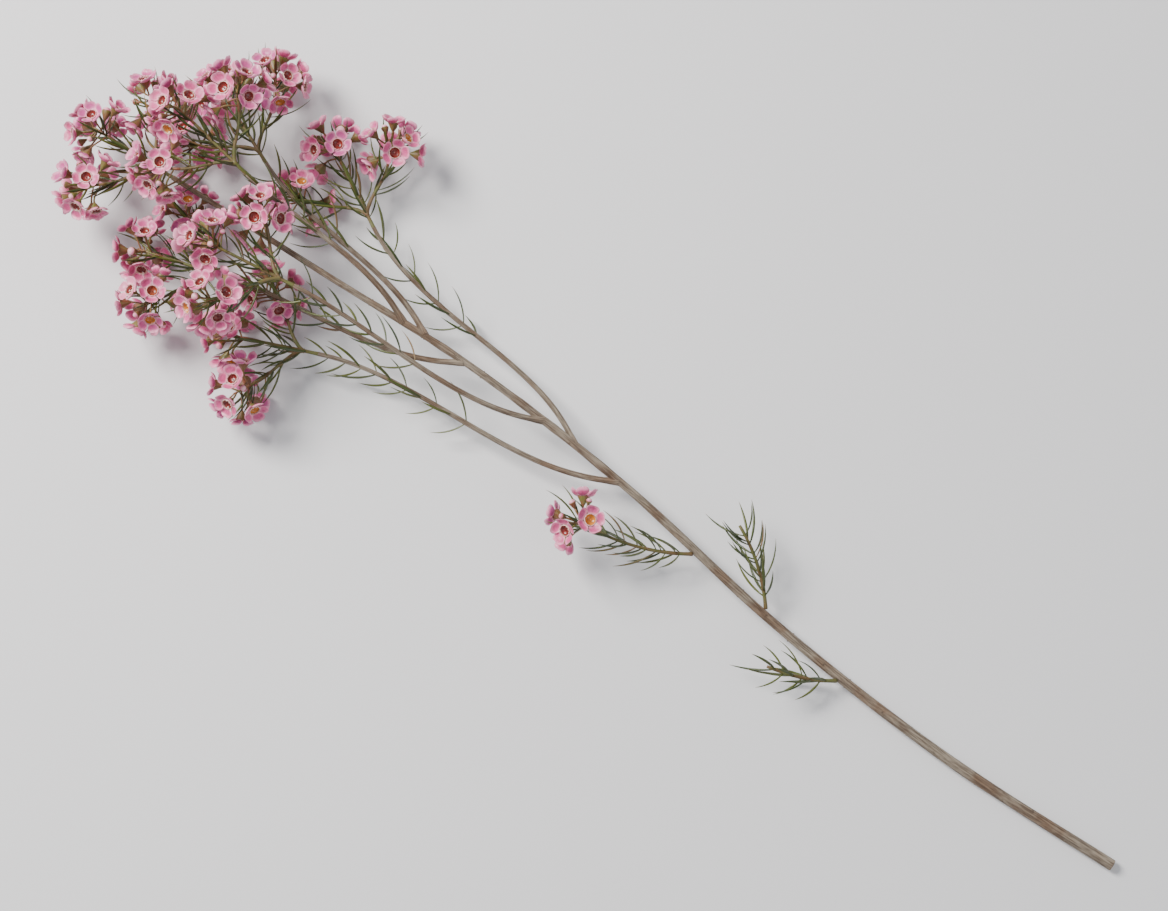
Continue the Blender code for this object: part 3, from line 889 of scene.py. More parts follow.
def petal_points(bloom, look, draw):
    """One petal along +x: a round, cupped blade on a short claw, with its underside."""
    along, across = np.meshgrid(PETAL_ROWS, PETAL_COLUMNS, indexing="ij")
    claw = np.sin(np.clip(along / PETAL_BELLY, 0, 1) * math.pi / 2)
    below = PETAL_CLAW + (1 - PETAL_CLAW) * claw
    beyond = np.clip(along - PETAL_BELLY, 0, 1) / (1 - PETAL_BELLY)
    above = np.sqrt(np.clip(1 - beyond**2, 0, 1))
    outline = np.where(along < PETAL_BELLY, below, above)
    width = look.petal_width * draw.uniform(0.93, 1.07)
    lift = bloom.opening + PETAL_THICKNESS * 0.7
    curl = draw.uniform(*PETAL_CURL) * MM
    edge = np.maximum(np.abs(across), along)
    x = PETAL_ROOT + (PETAL_TIP - PETAL_ROOT) * along - curl * along**6
    y = width / 2 * outline * across
    z = PETAL_FOOT + (lift - PETAL_FOOT) * along**1.15
    z += PETAL_SIDE_RISE * np.abs(across) ** 2.2 * outline + curl * 0.8 * along**6
    z -= PETAL_DIP * np.sin(along * math.pi) * (1 - across**2)
    phase = draw.uniform(0, math.tau)
    ruffle = np.sin(across * RUFFLES_ACROSS + along * RUFFLES_ALONG + phase)
    z += PETAL_RUFFLE * edge**4 * ruffle
    under = z - look.petal_thickness * (1 - EDGE_THINNING * edge**5)
    twist = math.radians(draw.uniform(*PETAL_TWIST))
    top = np.column_stack([x.ravel(), y.ravel(), z.ravel()])
    low = np.column_stack([x.ravel(), y.ravel(), under.ravel()])
    both = np.vstack([top, low])
    both[:, 2] += both[:, 1] * math.tan(twist)
    return both


def petal_pattern():
    """The faces of a petal: its face, its underside and the rim between them."""
    rows, columns = len(PETAL_ROWS), len(PETAL_COLUMNS)
    us = (PETAL_COLUMNS + 1) / 2
    pattern = net(us, PETAL_ROWS, flip=True).joined(net(us, PETAL_ROWS), rows * columns)
    edge = [(0, j) for j in range(columns)]
    edge += [(i, columns - 1) for i in range(1, rows)]
    edge += [(rows - 1, j) for j in range(columns - 2, -1, -1)]
    edge += [(i, 0) for i in range(rows - 2, 0, -1)]
    corners, places = [], []
    for (i, j), (k, l) in zip(edge, edge[1:] + edge[:1]):
        a, b = i * columns + j, k * columns + l
        corners.append([a, b, b + rows * columns, a + rows * columns])
        places.append([(us[j], PETAL_ROWS[i]), (us[l], PETAL_ROWS[k])] * 2)
    return Pattern(pattern.faces + [(np.array(corners), np.array(places, float))])


def ring_points(draw):
    """The crown of stamens round the cup, its teeth leaning in."""
    sides = RING_TEETH * 2
    angles = np.arange(sides) * math.tau / sides
    tall = np.where(np.arange(sides) % 2, GAP_HEIGHT, TOOTH_HEIGHT) * MM
    tall = tall * np.array([draw.uniform(0.85, 1.1) for _ in range(sides)])
    rows = []
    for out, share in RING_LEVELS:
        rows.append(ring_of_points(angles, RING_RADIUS + out * MM, RING_FOOT + tall * share))
    return np.vstack(rows)


def anther_points(draw):
    """A small grain on each tooth of the crown."""
    grains = []
    for tooth in range(RING_TEETH):
        angle = math.tau * tooth / RING_TEETH
        place = [math.cos(angle) * ANTHER_OUT, math.sin(angle) * ANTHER_OUT, ANTHER_HEIGHT]
        grains.append(np.array(place) + GRAIN * draw.uniform(*GRAIN_SIZE) * MM)
    return np.vstack(grains)


def anther_pattern():
    """The eight faces of every grain: four up to its top corner and four down to its lowest."""
    faces = []
    for first in range(0, RING_TEETH * len(GRAIN), len(GRAIN)):
        for k in range(4):
            a, b = first + k, first + (k + 1) % 4
            faces += [(a, b, first + 4), (b, a, first + 5)]
    return Pattern([(np.array(faces), np.full((len(faces), 3, 2), 0.5))])


def about(angle, points):
    """Points turned about the z axis."""
    c, s = math.cos(angle), math.sin(angle)
    return points @ np.array([[c, s, 0], [-s, c, 0], [0, 0, 1]])


def on_bloom(bloom, points):
    """Points of a bloom's own axes, moved to where it grows."""
    across, other = bloom.frame()
    return np.array(bloom.centre) + points @ np.array([across, other, bloom.axis]) * bloom.size


def stalk_points(bloom):
    """A stalk that leaves the rachis and bends into the bloom's axis."""
    base = bloom.funnel_base()
    straight = (base - bloom.root).normalized()
    path = curve_path(bloom.root, straight, base, bloom.axis, STALK_ROWS - 1)
    widths = np.linspace(*STALK_WIDTHS, STALK_ROWS) * MM
    return sweep(path.points, path.headings, widths, round_section(STALK_SIDES), any_side(straight))


class Patterns:
    """The faces of every repeated shape, worked out once."""

    def __init__(self):
        self.petal = petal_pattern()
        self.calyx = turned_pattern(CALYX_PROFILE, CALYX_SIDES, capped=False)
        self.cup = turned_pattern(CUP_PROFILE, CUP_SIDES)
        self.style = turned_pattern(STYLE_PROFILE, STYLE_SIDES)
        self.bud = turned_pattern(BUD_PROFILE, BUD_SIDES)
        around, up = np.linspace(0, 1, RING_TEETH * 2 + 1), np.linspace(0, 1, len(RING_LEVELS))
        self.ring = net(around, up, closed=True)
        self.anthers = anther_pattern()
        self.stalk = rod_pattern(STALK_SIDES, STALK_ROWS)


# The finishes of a flower head, in the order of its material slots.
PETAL, CALYX, CUP, RING, ANTHER, BUD = range(6)


def add_bloom(growth, bloom, look, patterns, draw):
    """An open bloom: stalk, ribbed calyx, petals, crown of stamens, cup and style."""
    tone, age = draw.random(), draw.random()
    growth.add(stalk_points(bloom), patterns.stalk, CALYX, tone, age)
    calyx = turned(scaled(CALYX_PROFILE), CALYX_SIDES, CALYX_FLUTE, CALYX_RIBS)
    growth.add(on_bloom(bloom, calyx), patterns.calyx, CALYX, tone, age)
    for petal in range(PETALS):
        points = petal_points(bloom, look, draw)
        stray = math.radians(draw.uniform(-PETAL_STRAY, PETAL_STRAY))
        angle = math.tau * petal / PETALS + stray
        growth.add(on_bloom(bloom, about(angle, points)), patterns.petal, PETAL, tone, age)
    cup = turned(scaled(CUP_PROFILE), CUP_SIDES)
    growth.add(on_bloom(bloom, cup), patterns.cup, CUP, tone, age)
    growth.add(on_bloom(bloom, ring_points(draw)), patterns.ring, RING, tone, age)
    growth.add(on_bloom(bloom, anther_points(draw)), patterns.anthers, ANTHER, tone, age)
    style = turned(scaled(STYLE_PROFILE), STYLE_SIDES)
    growth.add(on_bloom(bloom, style), patterns.style, CUP, tone, age)


def add_bud(growth, bud, patterns, draw):
    """A closed bud: stalk, calyx and a ball of folded petals."""
    tone, age = draw.random(), draw.random()
    growth.add(stalk_points(bud), patterns.stalk, CALYX, tone, age)
    narrow = [(radius * BUD_NARROWING, height) for radius, height in scaled(CALYX_PROFILE)]
    calyx = turned(narrow, CALYX_SIDES, CALYX_FLUTE, CALYX_RIBS)
    growth.add(on_bloom(bud, calyx), patterns.calyx, CALYX, tone, age)
    ball = turned(scaled(BUD_PROFILE), BUD_SIDES, BUD_FLUTE, PETALS)
    growth.add(on_bloom(bud, ball), patterns.bud, BUD, tone, age)


def flower_head(head, look, patterns, materials):
    """A whole flower head as one piece."""
    draw = random.Random(head.name)
    growth = Growth()
    start = head.hub - head.axis * SEAM * 2
    shares = np.linspace(0, 1, STALK_ROWS)
    points = [start.lerp(head.hub + head.axis * RACHIS, share) for share in shares]
    widths = np.linspace(RACHIS_RADIUS, RACHIS_TIP_RADIUS, STALK_ROWS)
    section = round_section(STALK_SIDES)
    rachis = sweep(points, [head.axis] * STALK_ROWS, widths, section, any_side(head.axis))
    growth.add(rachis, patterns.stalk, CALYX)
    for bloom in head.blooms:
        if bloom.is_bud:
            add_bud(growth, bloom, patterns, draw)
        else:
            add_bloom(growth, bloom, look, patterns, draw)
    name = head.name.replace("flower_head_", "blooms_")
    made = growth.piece(name, materials, head.name)
    return made


# A needle leaf: flat and grooved above, keeled below, drawn to a point.
NEEDLE_SECTION = ((-1, 0.3), (-0.5, -0.55), (0, -0.8), (0.5, -0.55), (1, 0.3), (0, 0.12))
NEEDLE_ROWS = 9

# A needle's width at its foot and how much it loses at its tip, as shares of its full width, which
# it has between those shares of its length.
NEEDLE_FOOT = 0.55
NEEDLE_LOSS = 0.93
FULL_FROM, FULL_TO = 0.3, 0.5


def needle_points(needle, half_width):
    """A needle along a smooth bend, narrow at its foot and pointed at its tip."""
    control = needle.bend * 2 - (needle.root + needle.tip) / 2
    path = Path([
        needle.root * (1 - t) ** 2 + control * (2 * t * (1 - t)) + needle.tip * t**2
        for t in (k / (NEEDLE_ROWS - 1) for k in range(NEEDLE_ROWS))
    ])
    shares = np.linspace(0, 1, NEEDLE_ROWS)
    swell = NEEDLE_FOOT + (1 - NEEDLE_FOOT) * np.clip(shares / FULL_FROM, 0, 1)
    taper = 1 - NEEDLE_LOSS * np.clip((shares - FULL_TO) / (1 - FULL_TO), 0, 1) ** 1.7
    side = (needle.bend - needle.root).cross(needle.tip - needle.bend)
    widths = half_width * swell * taper
    return sweep(path.points, path.headings, widths, NEEDLE_SECTION, side)


# The finishes of a leafy twig.
TWIG, NEEDLE = range(2)
FINE_TWIG_SIDES = 8

# A twig swells and narrows by this share, and by this much of a turn at each of its rows.
TWIG_SWELL = 0.06
TWIG_SWELL_TURN = 1.9


def twig_tube(path, start_radius, end_radius, sides, sink):
    """A twig's skin, whose root reaches into what carries it."""
    points = [path.points[0] - path.headings[0] * sink] + path.points
    headings = [path.headings[0]] + path.headings
    widths = np.linspace(start_radius, end_radius, len(points))
    widths = widths * (1 + TWIG_SWELL * np.sin(np.arange(len(points)) * TWIG_SWELL_TURN))
    return sweep(points, headings, widths, round_section(sides), any_side(headings[0]))


def leafy_twigs(name, paths, needles, look, materials):
    """The twigs of a spray or shoot with all their needles, as one piece."""
    draw = random.Random(name)
    growth = Growth()
    for path in paths:
        skin = twig_tube(path, TWIG_RADIUS, TWIG_TIP_RADIUS, FINE_TWIG_SIDES, SEAM * 3)
        growth.add(skin, rod_pattern(FINE_TWIG_SIDES, len(path.points) + 1), TWIG, draw.random())
    pattern = rod_pattern(len(NEEDLE_SECTION), NEEDLE_ROWS)
    for needle in needles:
        half_width = look.needle_width / 2 * draw.uniform(0.85, 1.15)
        growth.add(needle_points(needle, half_width), pattern, NEEDLE, draw.random(), draw.random())
    made = growth.piece(name.replace("leafy_", "leaves_"), materials, name)
    return made


# The finishes of the wood.
BARK, CUT_WOOD = range(2)
STEM_ROWS_A_KNOT = 26
BRANCH_ROWS = 44
FINE_STEM_SIDES = 20
FINE_BRANCH_SIDES = 12

# The bark's ridges and slow swellings: how close they lie, in waves a metre along the wood, and how
# deep they are, as shares of its radius.
RIDGES_AROUND = 2.2
RIDGES_ALONG = 45
RIDGE_DEPTH = 0.055
SWELLS_ALONG = 30
SWELL_DEPTH = 0.06
STEM_BARK_SEED = 3.1
BRANCH_BARK_SEED = 7.7

# How the wood swells where a branch leaves it and at the branch's foot, and how far that reaches.
FORK_SWELL = 0.12
FORK_REACH = 5 * MM
FOOT_SWELL = 0.45
FOOT_REACH = 4 * MM

# The scars of dropped needles, in pairs up the stem.
SCAR_PROFILE = ((0.75, -0.3), (0.62, 0.15), (0.4, 0.32), (0.12, 0.3))
SCAR_SIDES = 8
SCAR_SHORTNESS = 0.6
SCAR_SEAT = 0.97
SCAR_SEED = 17
FIRST_SCAR = 24 * MM
BARE_TOP = 60 * MM
FIRST_SCAR_TURN = 0.4

# The rings of the cut face: their share of its radius, and their depth in millimetres.
CUT_SHARES = (1.0, 0.9, 0.55, 0.2)
CUT_DEPTHS = (0, 0.12, 0.08, -0.05)


def bark_radius(radius, distance, angle, seed):
    """The bark's own unevenness: long shallow ridges and slow swellings."""
    across, up = math.cos(angle) * RIDGES_AROUND, math.sin(angle) * RIDGES_AROUND
    ridge = noise.noise(Vector((across, up, distance * RIDGES_ALONG + seed)))
    swell = noise.noise(Vector((0, seed, distance * SWELLS_ALONG)))
    return radius * (1 + RIDGE_DEPTH * ridge + SWELL_DEPTH * swell)


def bulge(distance, reach):
    """A swelling that is full where it sits and fades away over its reach."""
    return np.exp(-((distance / reach) ** 2))


def bark_tube(growth, path, radii, sides, seed):
    """A woody tube with uneven bark. Gives back its first ring of points."""
    rows = []
    distance = 0.0
    side = any_side(path.headings[0])
    angles = [math.tau * k / sides for k in range(sides)]
    lengths = [0.0]
    for i, (point, way, radius) in enumerate(zip(path.points, path.headings, radii)):
        if i:
            distance += (point - path.points[i - 1]).length
            lengths.append(distance)
        side = (side - way * side.dot(way)).normalized()
        other = way.cross(side)
        for angle in angles:
            out = side * math.cos(angle) + other * math.sin(angle)
            rows.append(point + out * bark_radius(radius, distance, angle, seed))
    us = np.linspace(0, 1, sides + 1)
    pattern = net(us, np.array(lengths), closed=True)
    pattern = pattern.joined(lid(sides, (len(path.points) - 1) * sides, 1.0), 0)
    growth.add(np.array(rows), pattern, BARK)
    return rows[:sides]


def add_cut_end(growth, ring, middle, way):
    """The cut face: bark, wood and pith, a little hollowed."""
    sides = len(ring)
    middle = np.array(middle)
    rim = np.array(ring)
    rows = []
    for share, depth in zip(CUT_SHARES, CUT_DEPTHS):
        rows.append(middle + (rim - middle) * share - np.array(way) * depth * MM)
    pattern = net(np.linspace(0, 1, sides + 1), np.array(CUT_SHARES), closed=True, flip=True)
    pattern = pattern.joined(lid(sides, (len(rows) - 1) * sides, 0.0, outward=False), 0)
    growth.add(np.vstack(rows), pattern, CUT_WOOD)


def add_scar(growth, point, way, out, radius, draw):
    """A low knob where a needle has dropped."""
    knob = turned([(r * MM * draw.uniform(0.8, 1.1), h * MM) for r, h in SCAR_PROFILE], SCAR_SIDES)
    across = way.cross(out).normalized()
    axes = np.array([across, way * SCAR_SHORTNESS, out])
    place = np.array(point + out * radius * SCAR_SEAT)
    pattern = turned_pattern(SCAR_PROFILE, SCAR_SIDES)
    growth.add(place + knob @ axes, pattern, BARK, draw.random())


def stem_radius(share):
    return BUTT_RADIUS + (STEM_TOP_RADIUS - BUTT_RADIUS) * share


def woody_stem(grown, look, materials):
    """The woody stem with its side branches and leaf scars, as one piece."""
    draw = random.Random(SCAR_SEED)
    growth = Growth()
    path = through(STEM_ROUTE, STEM_ROWS_A_KNOT)
    total = path.length()
    forks = [spray.leaves * MM / total for spray in SPRAYS if spray.leaves]
    shares = np.linspace(0, 1, len(path.points))
    swell = sum(bulge((shares - fork) * total, FORK_REACH) for fork in forks)
    radii = stem_radius(shares) * (1 + FORK_SWELL * swell)
    ring = bark_tube(growth, path, radii, FINE_STEM_SIDES, STEM_BARK_SEED)
    add_cut_end(growth, ring, path.points[0], path.headings[0])
    for number, spray in enumerate(SPRAYS):
        if spray.name in grown.branches:
            limb = branch_path(spray, grown.stem, BRANCH_ROWS)
            share = np.linspace(0, 1, len(limb.points))
            widths = BRANCH_RADIUS + (BRANCH_TIP_RADIUS - BRANCH_RADIUS) * share
            widths = widths * (1 + FOOT_SWELL * bulge(share * limb.length(), FOOT_REACH))
            bark_tube(growth, limb, widths, FINE_BRANCH_SIDES, BRANCH_BARK_SEED + number)
    distance = FIRST_SCAR
    turn = FIRST_SCAR_TURN
    while distance < total - BARE_TOP:
        point, way = path.at(distance)
        side = any_side(way)
        for half in (0, math.pi):
            out = side.copy()
            out.rotate(Quaternion(way, turn + half))
            add_scar(growth, point, way, out, stem_radius(distance / total), draw)
        turn += NEEDLE_TURN
        distance += look.scar_pitch * draw.uniform(0.75, 1.25)
    made = growth.piece("bark_of_stem", materials, "woody_stem")
    return made


class Tree:
    """A node tree while it is being put together."""

    def __init__(self, tree):
        self.tree = tree

    def feed(self, socket, value):
        """Links a socket to another one, or sets it to a plain value or an opaque colour."""
        if isinstance(value, bpy.types.NodeSocket):
            self.tree.links.new(value, socket)
        elif socket.type == "RGBA":
            socket.default_value = (*value[:3], 1.0)
        else:
            socket.default_value = value

    def node(self, kind, inputs=None, **settings):
        """A node with its own settings, whose inputs are linked or set."""
        made = self.tree.nodes.new(kind)
        for name, value in settings.items():
            setattr(made, name, value)
        for name, value in (inputs or {}).items():
            self.feed(made.inputs[name], value)
        return made

    def clamped(self, operation, a, b=0.0):
        """One step of arithmetic, kept between 0 and 1."""
        made = self.node("ShaderNodeMath", {0: a, 1: b}, operation=operation, use_clamp=True)
        return made.outputs[0]

    def value(self, operation, a, b=0.0):
        """One step of arithmetic with no limits."""
        return self.node("ShaderNodeMath", {0: a, 1: b}, operation=operation).outputs[0]

    def times(self, a, b):
        """Two values multiplied."""
        return self.value("MULTIPLY", a, b)

    def step(self, value, low, high, start=0.0, end=1.0):
        """A smooth step from one level to another while a value runs from low to high."""
        inputs = {"Value": value, "From Min": low, "From Max": high, "To Min": start, "To Max": end}
        made = self.node("ShaderNodeMapRange", inputs, interpolation_type="SMOOTHSTEP")
        return made.outputs["Result"]

    def blend(self, mask, a, b):
        """One colour under a mask's dark parts and another under its light parts."""
        made = self.node("ShaderNodeMix", data_type="RGBA")
        for index, value in ((0, mask), (6, a), (7, b)):
            self.feed(made.inputs[index], value)
        return made.outputs[2]

    def growth_map(self):
        """How far round or across a shape, and how far along it."""
        place = self.node("ShaderNodeUVMap", uv_map=GROWTH_MAP).outputs["UV"]
        split = self.node("ShaderNodeSeparateXYZ", {"Vector": place})
        return split.outputs["X"], split.outputs["Y"]

    def attribute(self, name):
        """A number that each point of a mesh carries."""
        return self.node("ShaderNodeAttribute", attribute_name=name).outputs["Fac"]

    def effect(self, name, **inputs):
        """Places a shared effect with this finish's own values."""
        return self.node("ShaderNodeGroup", inputs, node_tree=effects()[name]).outputs[0]

    def over(self, colour, mask, share, other):
        """A colour with a share of another where a mask is light."""
        return self.blend(self.times(mask, share), colour, other)

    def skin(self, colour, mask, dark, light, height, strength, distance=0.2 * MM):
        """What a finish gives its shader: its roughness runs between two levels with a mask."""
        inputs = {"Height": height, "Strength": strength, "Distance": distance}
        return {
            "Base Color": colour,
            "Roughness": self.step(mask, 0.0, 1.0, dark, light),
            "Normal": self.node("ShaderNodeBump", inputs).outputs["Normal"],
        }


def new_effect(name, output, **inputs):
    """An empty shared effect with its named inputs and its one output, a colour or a number."""
    group = bpy.data.node_groups.new(name, "ShaderNodeTree")
    for label, value in inputs.items():
        kind = "NodeSocketColor" if isinstance(value, tuple) else "NodeSocketFloat"
        socket = group.interface.new_socket(name=label, in_out="INPUT", socket_type=kind)
        socket.default_value = value
    kind = "NodeSocketColor" if output == "Color" else "NodeSocketFloat"
    group.interface.new_socket(name=output, in_out="OUTPUT", socket_type=kind)
    tree = Tree(group)
    return group, tree, tree.node("NodeGroupInput"), tree.node("NodeGroupOutput")


def mottling_effect():
    """Soft patches that run on across neighbouring shapes."""
    group, tree, start, end = new_effect("mottling", "Mask", Scale=300.0, Spread=0.2)
    place = tree.node("ShaderNodeTexCoord").outputs["Object"]
    inputs = {"Vector": place, "Scale": start.outputs["Scale"], "Detail": 3.0, "Roughness": 0.6}
    cloud = tree.node("ShaderNodeTexNoise", inputs).outputs["Fac"]
    low = tree.value("SUBTRACT", 0.5, start.outputs["Spread"])
    high = tree.value("ADD", 0.5, start.outputs["Spread"])
    tree.feed(end.inputs["Mask"], tree.step(cloud, low, high))
    return group


def long_grain_effect():
    """Streaks along a shape, with no seam where the growth map meets itself."""
    group, tree, start, end = new_effect(
        "long_grain", "Mask", Around=6.0, Along=60.0, Detail=4.0, Low=0.3, High=0.7
    )
    u, v = tree.growth_map()
    angle = tree.times(u, math.tau)
    across = tree.times(tree.value("COSINE", angle), start.outputs["Around"])
    up = tree.times(tree.value("SINE", angle), start.outputs["Around"])
    along = tree.times(v, start.outputs["Along"])
    place = tree.node("ShaderNodeCombineXYZ", {"X": across, "Y": up, "Z": along}).outputs["Vector"]
    inputs = {"Vector": place, "Scale": 1.0, "Detail": start.outputs["Detail"], "Roughness": 0.62}
    streaks = tree.node("ShaderNodeTexNoise", inputs).outputs["Fac"]
    mask = tree.step(streaks, start.outputs["Low"], start.outputs["High"])
    tree.feed(end.inputs["Mask"], mask)
    return group


def fine_relief_effect():
    """Tiny cells and grain for a skin's relief."""
    group, tree, start, end = new_effect("fine_relief", "Height", Scale=2500.0, Cells=0.5)
    place = tree.node("ShaderNodeTexCoord").outputs["Object"]
    scale = start.outputs["Scale"]
    noise_inputs = {"Vector": place, "Scale": scale, "Detail": 2.0}
    grain = tree.node("ShaderNodeTexNoise", noise_inputs).outputs["Fac"]
    cells = tree.node("ShaderNodeTexVoronoi", {"Vector": place, "Scale": scale}).outputs["Distance"]
    made = tree.node("ShaderNodeMix", {"Factor": start.outputs["Cells"], "A": grain, "B": cells})
    tree.feed(end.inputs["Height"], made.outputs["Result"])
    return group


def own_tone_effect():
    """Shifts a colour towards another by the tone that each bloom or leaf was given."""
    group, tree, start, end = new_effect(
        "own_tone", "Color",
        Color=(0.5, 0.5, 0.5, 1.0), Other=(0.5, 0.5, 0.5, 1.0), Low=0.3, High=0.9, Share=0.6,
    )
    tone = tree.step(tree.attribute(TONE), start.outputs["Low"], start.outputs["High"])
    share = tree.times(tone, start.outputs["Share"])
    mixed = tree.blend(share, start.outputs["Color"], start.outputs["Other"])
    tree.feed(end.inputs["Color"], mixed)
    return group


@cache
def effects():
    return {
        "mottling": mottling_effect(),
        "long_grain": long_grain_effect(),
        "fine_relief": fine_relief_effect(),
        "own_tone": own_tone_effect(),
    }


def finish(name, paint, look, **sockets):
    """A material: its paint function gives colour, roughness and normal, the rest is constant."""
    made = bpy.data.materials.new(name)
    made.use_nodes = True
    tree = Tree(made.node_tree)
    shader = made.node_tree.nodes["Principled BSDF"]
    for label, value in paint(tree, look).items():
        tree.feed(shader.inputs[label], value)
    for label, value in sockets.items():
        shader.inputs[label.replace("_", " ")].default_value = value
    return made


def petal_paint(tree, look):
    u, v = tree.growth_map()
    across = tree.value("ABSOLUTE", tree.value("SUBTRACT", tree.times(u, 2.0), 1.0))
    rise = tree.step(v, 0.3, 1.0)
    spread = tree.value("ADD", tree.times(across, across), tree.times(rise, rise))
    edge = tree.value("SQRT", spread)
    patches = tree.effect("mottling", Scale=420.0, Spread=0.16)
    colour = tree.over(look.petal, patches, 0.45, look.petal_deep)
    colour = tree.effect(
        "own_tone", Color=colour, Other=look.petal_lilac, Low=0.45, High=0.95, Share=0.55
    )
    fan = tree.value("DIVIDE", tree.value("SUBTRACT", u, 0.5), tree.value("ADD", v, 0.5))
    own = tree.times(tree.attribute(TONE), 40.0)
    spot = {"X": tree.times(fan, 26.0), "Y": tree.times(v, 1.6), "Z": own}
    place = tree.node("ShaderNodeCombineXYZ", spot).outputs["Vector"]
    inputs = {"Vector": place, "Scale": 1.0, "Detail": 2.0}
    veins = tree.node("ShaderNodeTexNoise", inputs).outputs["Fac"]
    streak = tree.step(veins, 0.45, 0.72)
    colour = tree.over(colour, streak, 0.38, look.petal_deep)
    throat = tree.step(v, 0.02, 0.3, 0.85, 0.0)
    colour = tree.blend(throat, colour, look.petal_margin)
    plain = tree.value("SUBTRACT", 1.0, tree.times(streak, 0.45))
    margin = tree.times(tree.step(edge, 0.55, 1.12, 0.0, 0.8), plain)
    colour = tree.blend(margin, colour, look.petal_margin)
    faded = tree.step(tree.attribute(AGE), 0.0, 0.16, 0.45, 0.0)
    colour = tree.blend(faded, colour, look.petal_margin)
    relief = tree.effect("fine_relief", Scale=2600.0, Cells=0.35)
    height = tree.value("ADD", tree.times(relief, 0.4), tree.times(veins, 0.8))
    return tree.skin(colour, patches, 0.36, 0.5, height, 0.35)


def calyx_paint(tree, look):
    ribs = tree.effect("long_grain", Around=2.2, Along=1.5, Detail=3.0, Low=0.35, High=0.65)
    patches = tree.effect("mottling", Scale=260.0, Spread=0.14)
    colour = tree.blend(patches, look.calyx, look.calyx_flush)
    colour = tree.effect(
        "own_tone", Color=colour, Other=look.calyx_flush, Low=0.2, High=1.0, Share=0.6
    )
    colour = tree.over(colour, ribs, 0.35, look.calyx_rib)
    relief = tree.effect("fine_relief", Scale=1900.0, Cells=0.75)
    return tree.skin(colour, ribs, 0.34, 0.5, relief, 0.4)


def cup_paint(tree, look):
    _, v = tree.growth_map()
    patches = tree.effect("mottling", Scale=900.0, Spread=0.2)
    # Painted sheen: patches of lighter orange-red in the dark cup stand in for the sheen on a ripe
    # cup.
    colour = tree.over(look.cup, patches, 0.5, look.cup_painted_sheen)
    young = tree.step(tree.attribute(AGE), 1.0 - look.young_share, 1.02 - look.young_share)
    colour = tree.blend(young, colour, look.young_cup)
    rim = tree.step(v, 0.0, 0.14, 0.6, 0.0)
    colour = tree.blend(rim, colour, look.crown)
    relief = tree.effect("fine_relief", Scale=2400.0, Cells=0.8)
    return tree.skin(colour, patches, 0.2, 0.36, relief, 0.3)


def crown_paint(tree, look):
    _, v = tree.growth_map()
    colour = tree.effect(
        "own_tone", Color=look.crown, Other=look.petal, Low=0.2, High=1.0, Share=0.5
    )
    foot = tree.step(v, 0.0, 0.35, 0.6, 0.0)
    colour = tree.blend(foot, colour, look.petal_deep)
    patches = tree.effect("mottling", Scale=1500.0, Spread=0.2)
    colour = tree.over(colour, patches, 0.3, look.petal_margin)
    relief = tree.effect("fine_relief", Scale=3200.0, Cells=0.3)
    return tree.skin(colour, patches, 0.42, 0.6, relief, 0.3, 0.1 * MM)


def anther_paint(tree, look):
    patches = tree.effect("mottling", Scale=2200.0, Spread=0.15)
    colour = tree.blend(patches, look.anther, look.cup)
    relief = tree.effect("fine_relief", Scale=6000.0, Cells=0.6)
    return tree.skin(colour, patches, 0.6, 0.85, relief, 0.5, 0.1 * MM)


def bud_paint(tree, look):
    _, v = tree.growth_map()
    colour = tree.effect(
        "own_tone", Color=look.petal_margin, Other=look.petal, Low=0.25, High=0.9, Share=0.8
    )
    tip = tree.step(v, 0.45, 0.9, 0.0, 0.55)
    colour = tree.blend(tip, colour, look.crown)
    patches = tree.effect("mottling", Scale=500.0, Spread=0.18)
    colour = tree.over(colour, patches, 0.3, look.petal_deep)
    relief = tree.effect("fine_relief", Scale=2600.0, Cells=0.4)
    return tree.skin(colour, patches, 0.32, 0.46, relief, 0.3)


def needle_paint(tree, look):
    _, v = tree.growth_map()
    colour = tree.effect(
        "own_tone", Color=look.needle, Other=look.needle_light, Low=0.35, High=1.0, Share=0.75
    )
    patches = tree.effect("mottling", Scale=240.0, Spread=0.18)
    colour = tree.over(colour, patches, 0.35, look.needle_light)
    dry = tree.step(tree.attribute(AGE), 0.9, 0.97, 0.0, 0.75)
    colour = tree.blend(dry, colour, look.needle_dry)
    tip = tree.step(v, 0.9, 1.0, 0.0, 0.8)
    colour = tree.blend(tip, colour, look.needle_dry)
    glands = tree.effect("fine_relief", Scale=1700.0, Cells=0.9)
    return tree.skin(colour, patches, 0.3, 0.46, glands, 0.35)


def twig_paint(tree, look):
    streaks = tree.effect("long_grain", Around=2.5, Along=7.0, Detail=4.0, Low=0.32, High=0.68)
    patches = tree.effect("mottling", Scale=160.0, Spread=0.15)
    colour = tree.blend(patches, look.twig, look.twig_brown)
    colour = tree.over(colour, streaks, 0.4, look.needle_light)
    relief = tree.effect("fine_relief", Scale=1500.0, Cells=0.5)
    height = tree.value("ADD", relief, streaks)
    return tree.skin(colour, streaks, 0.45, 0.65, height, 0.5)


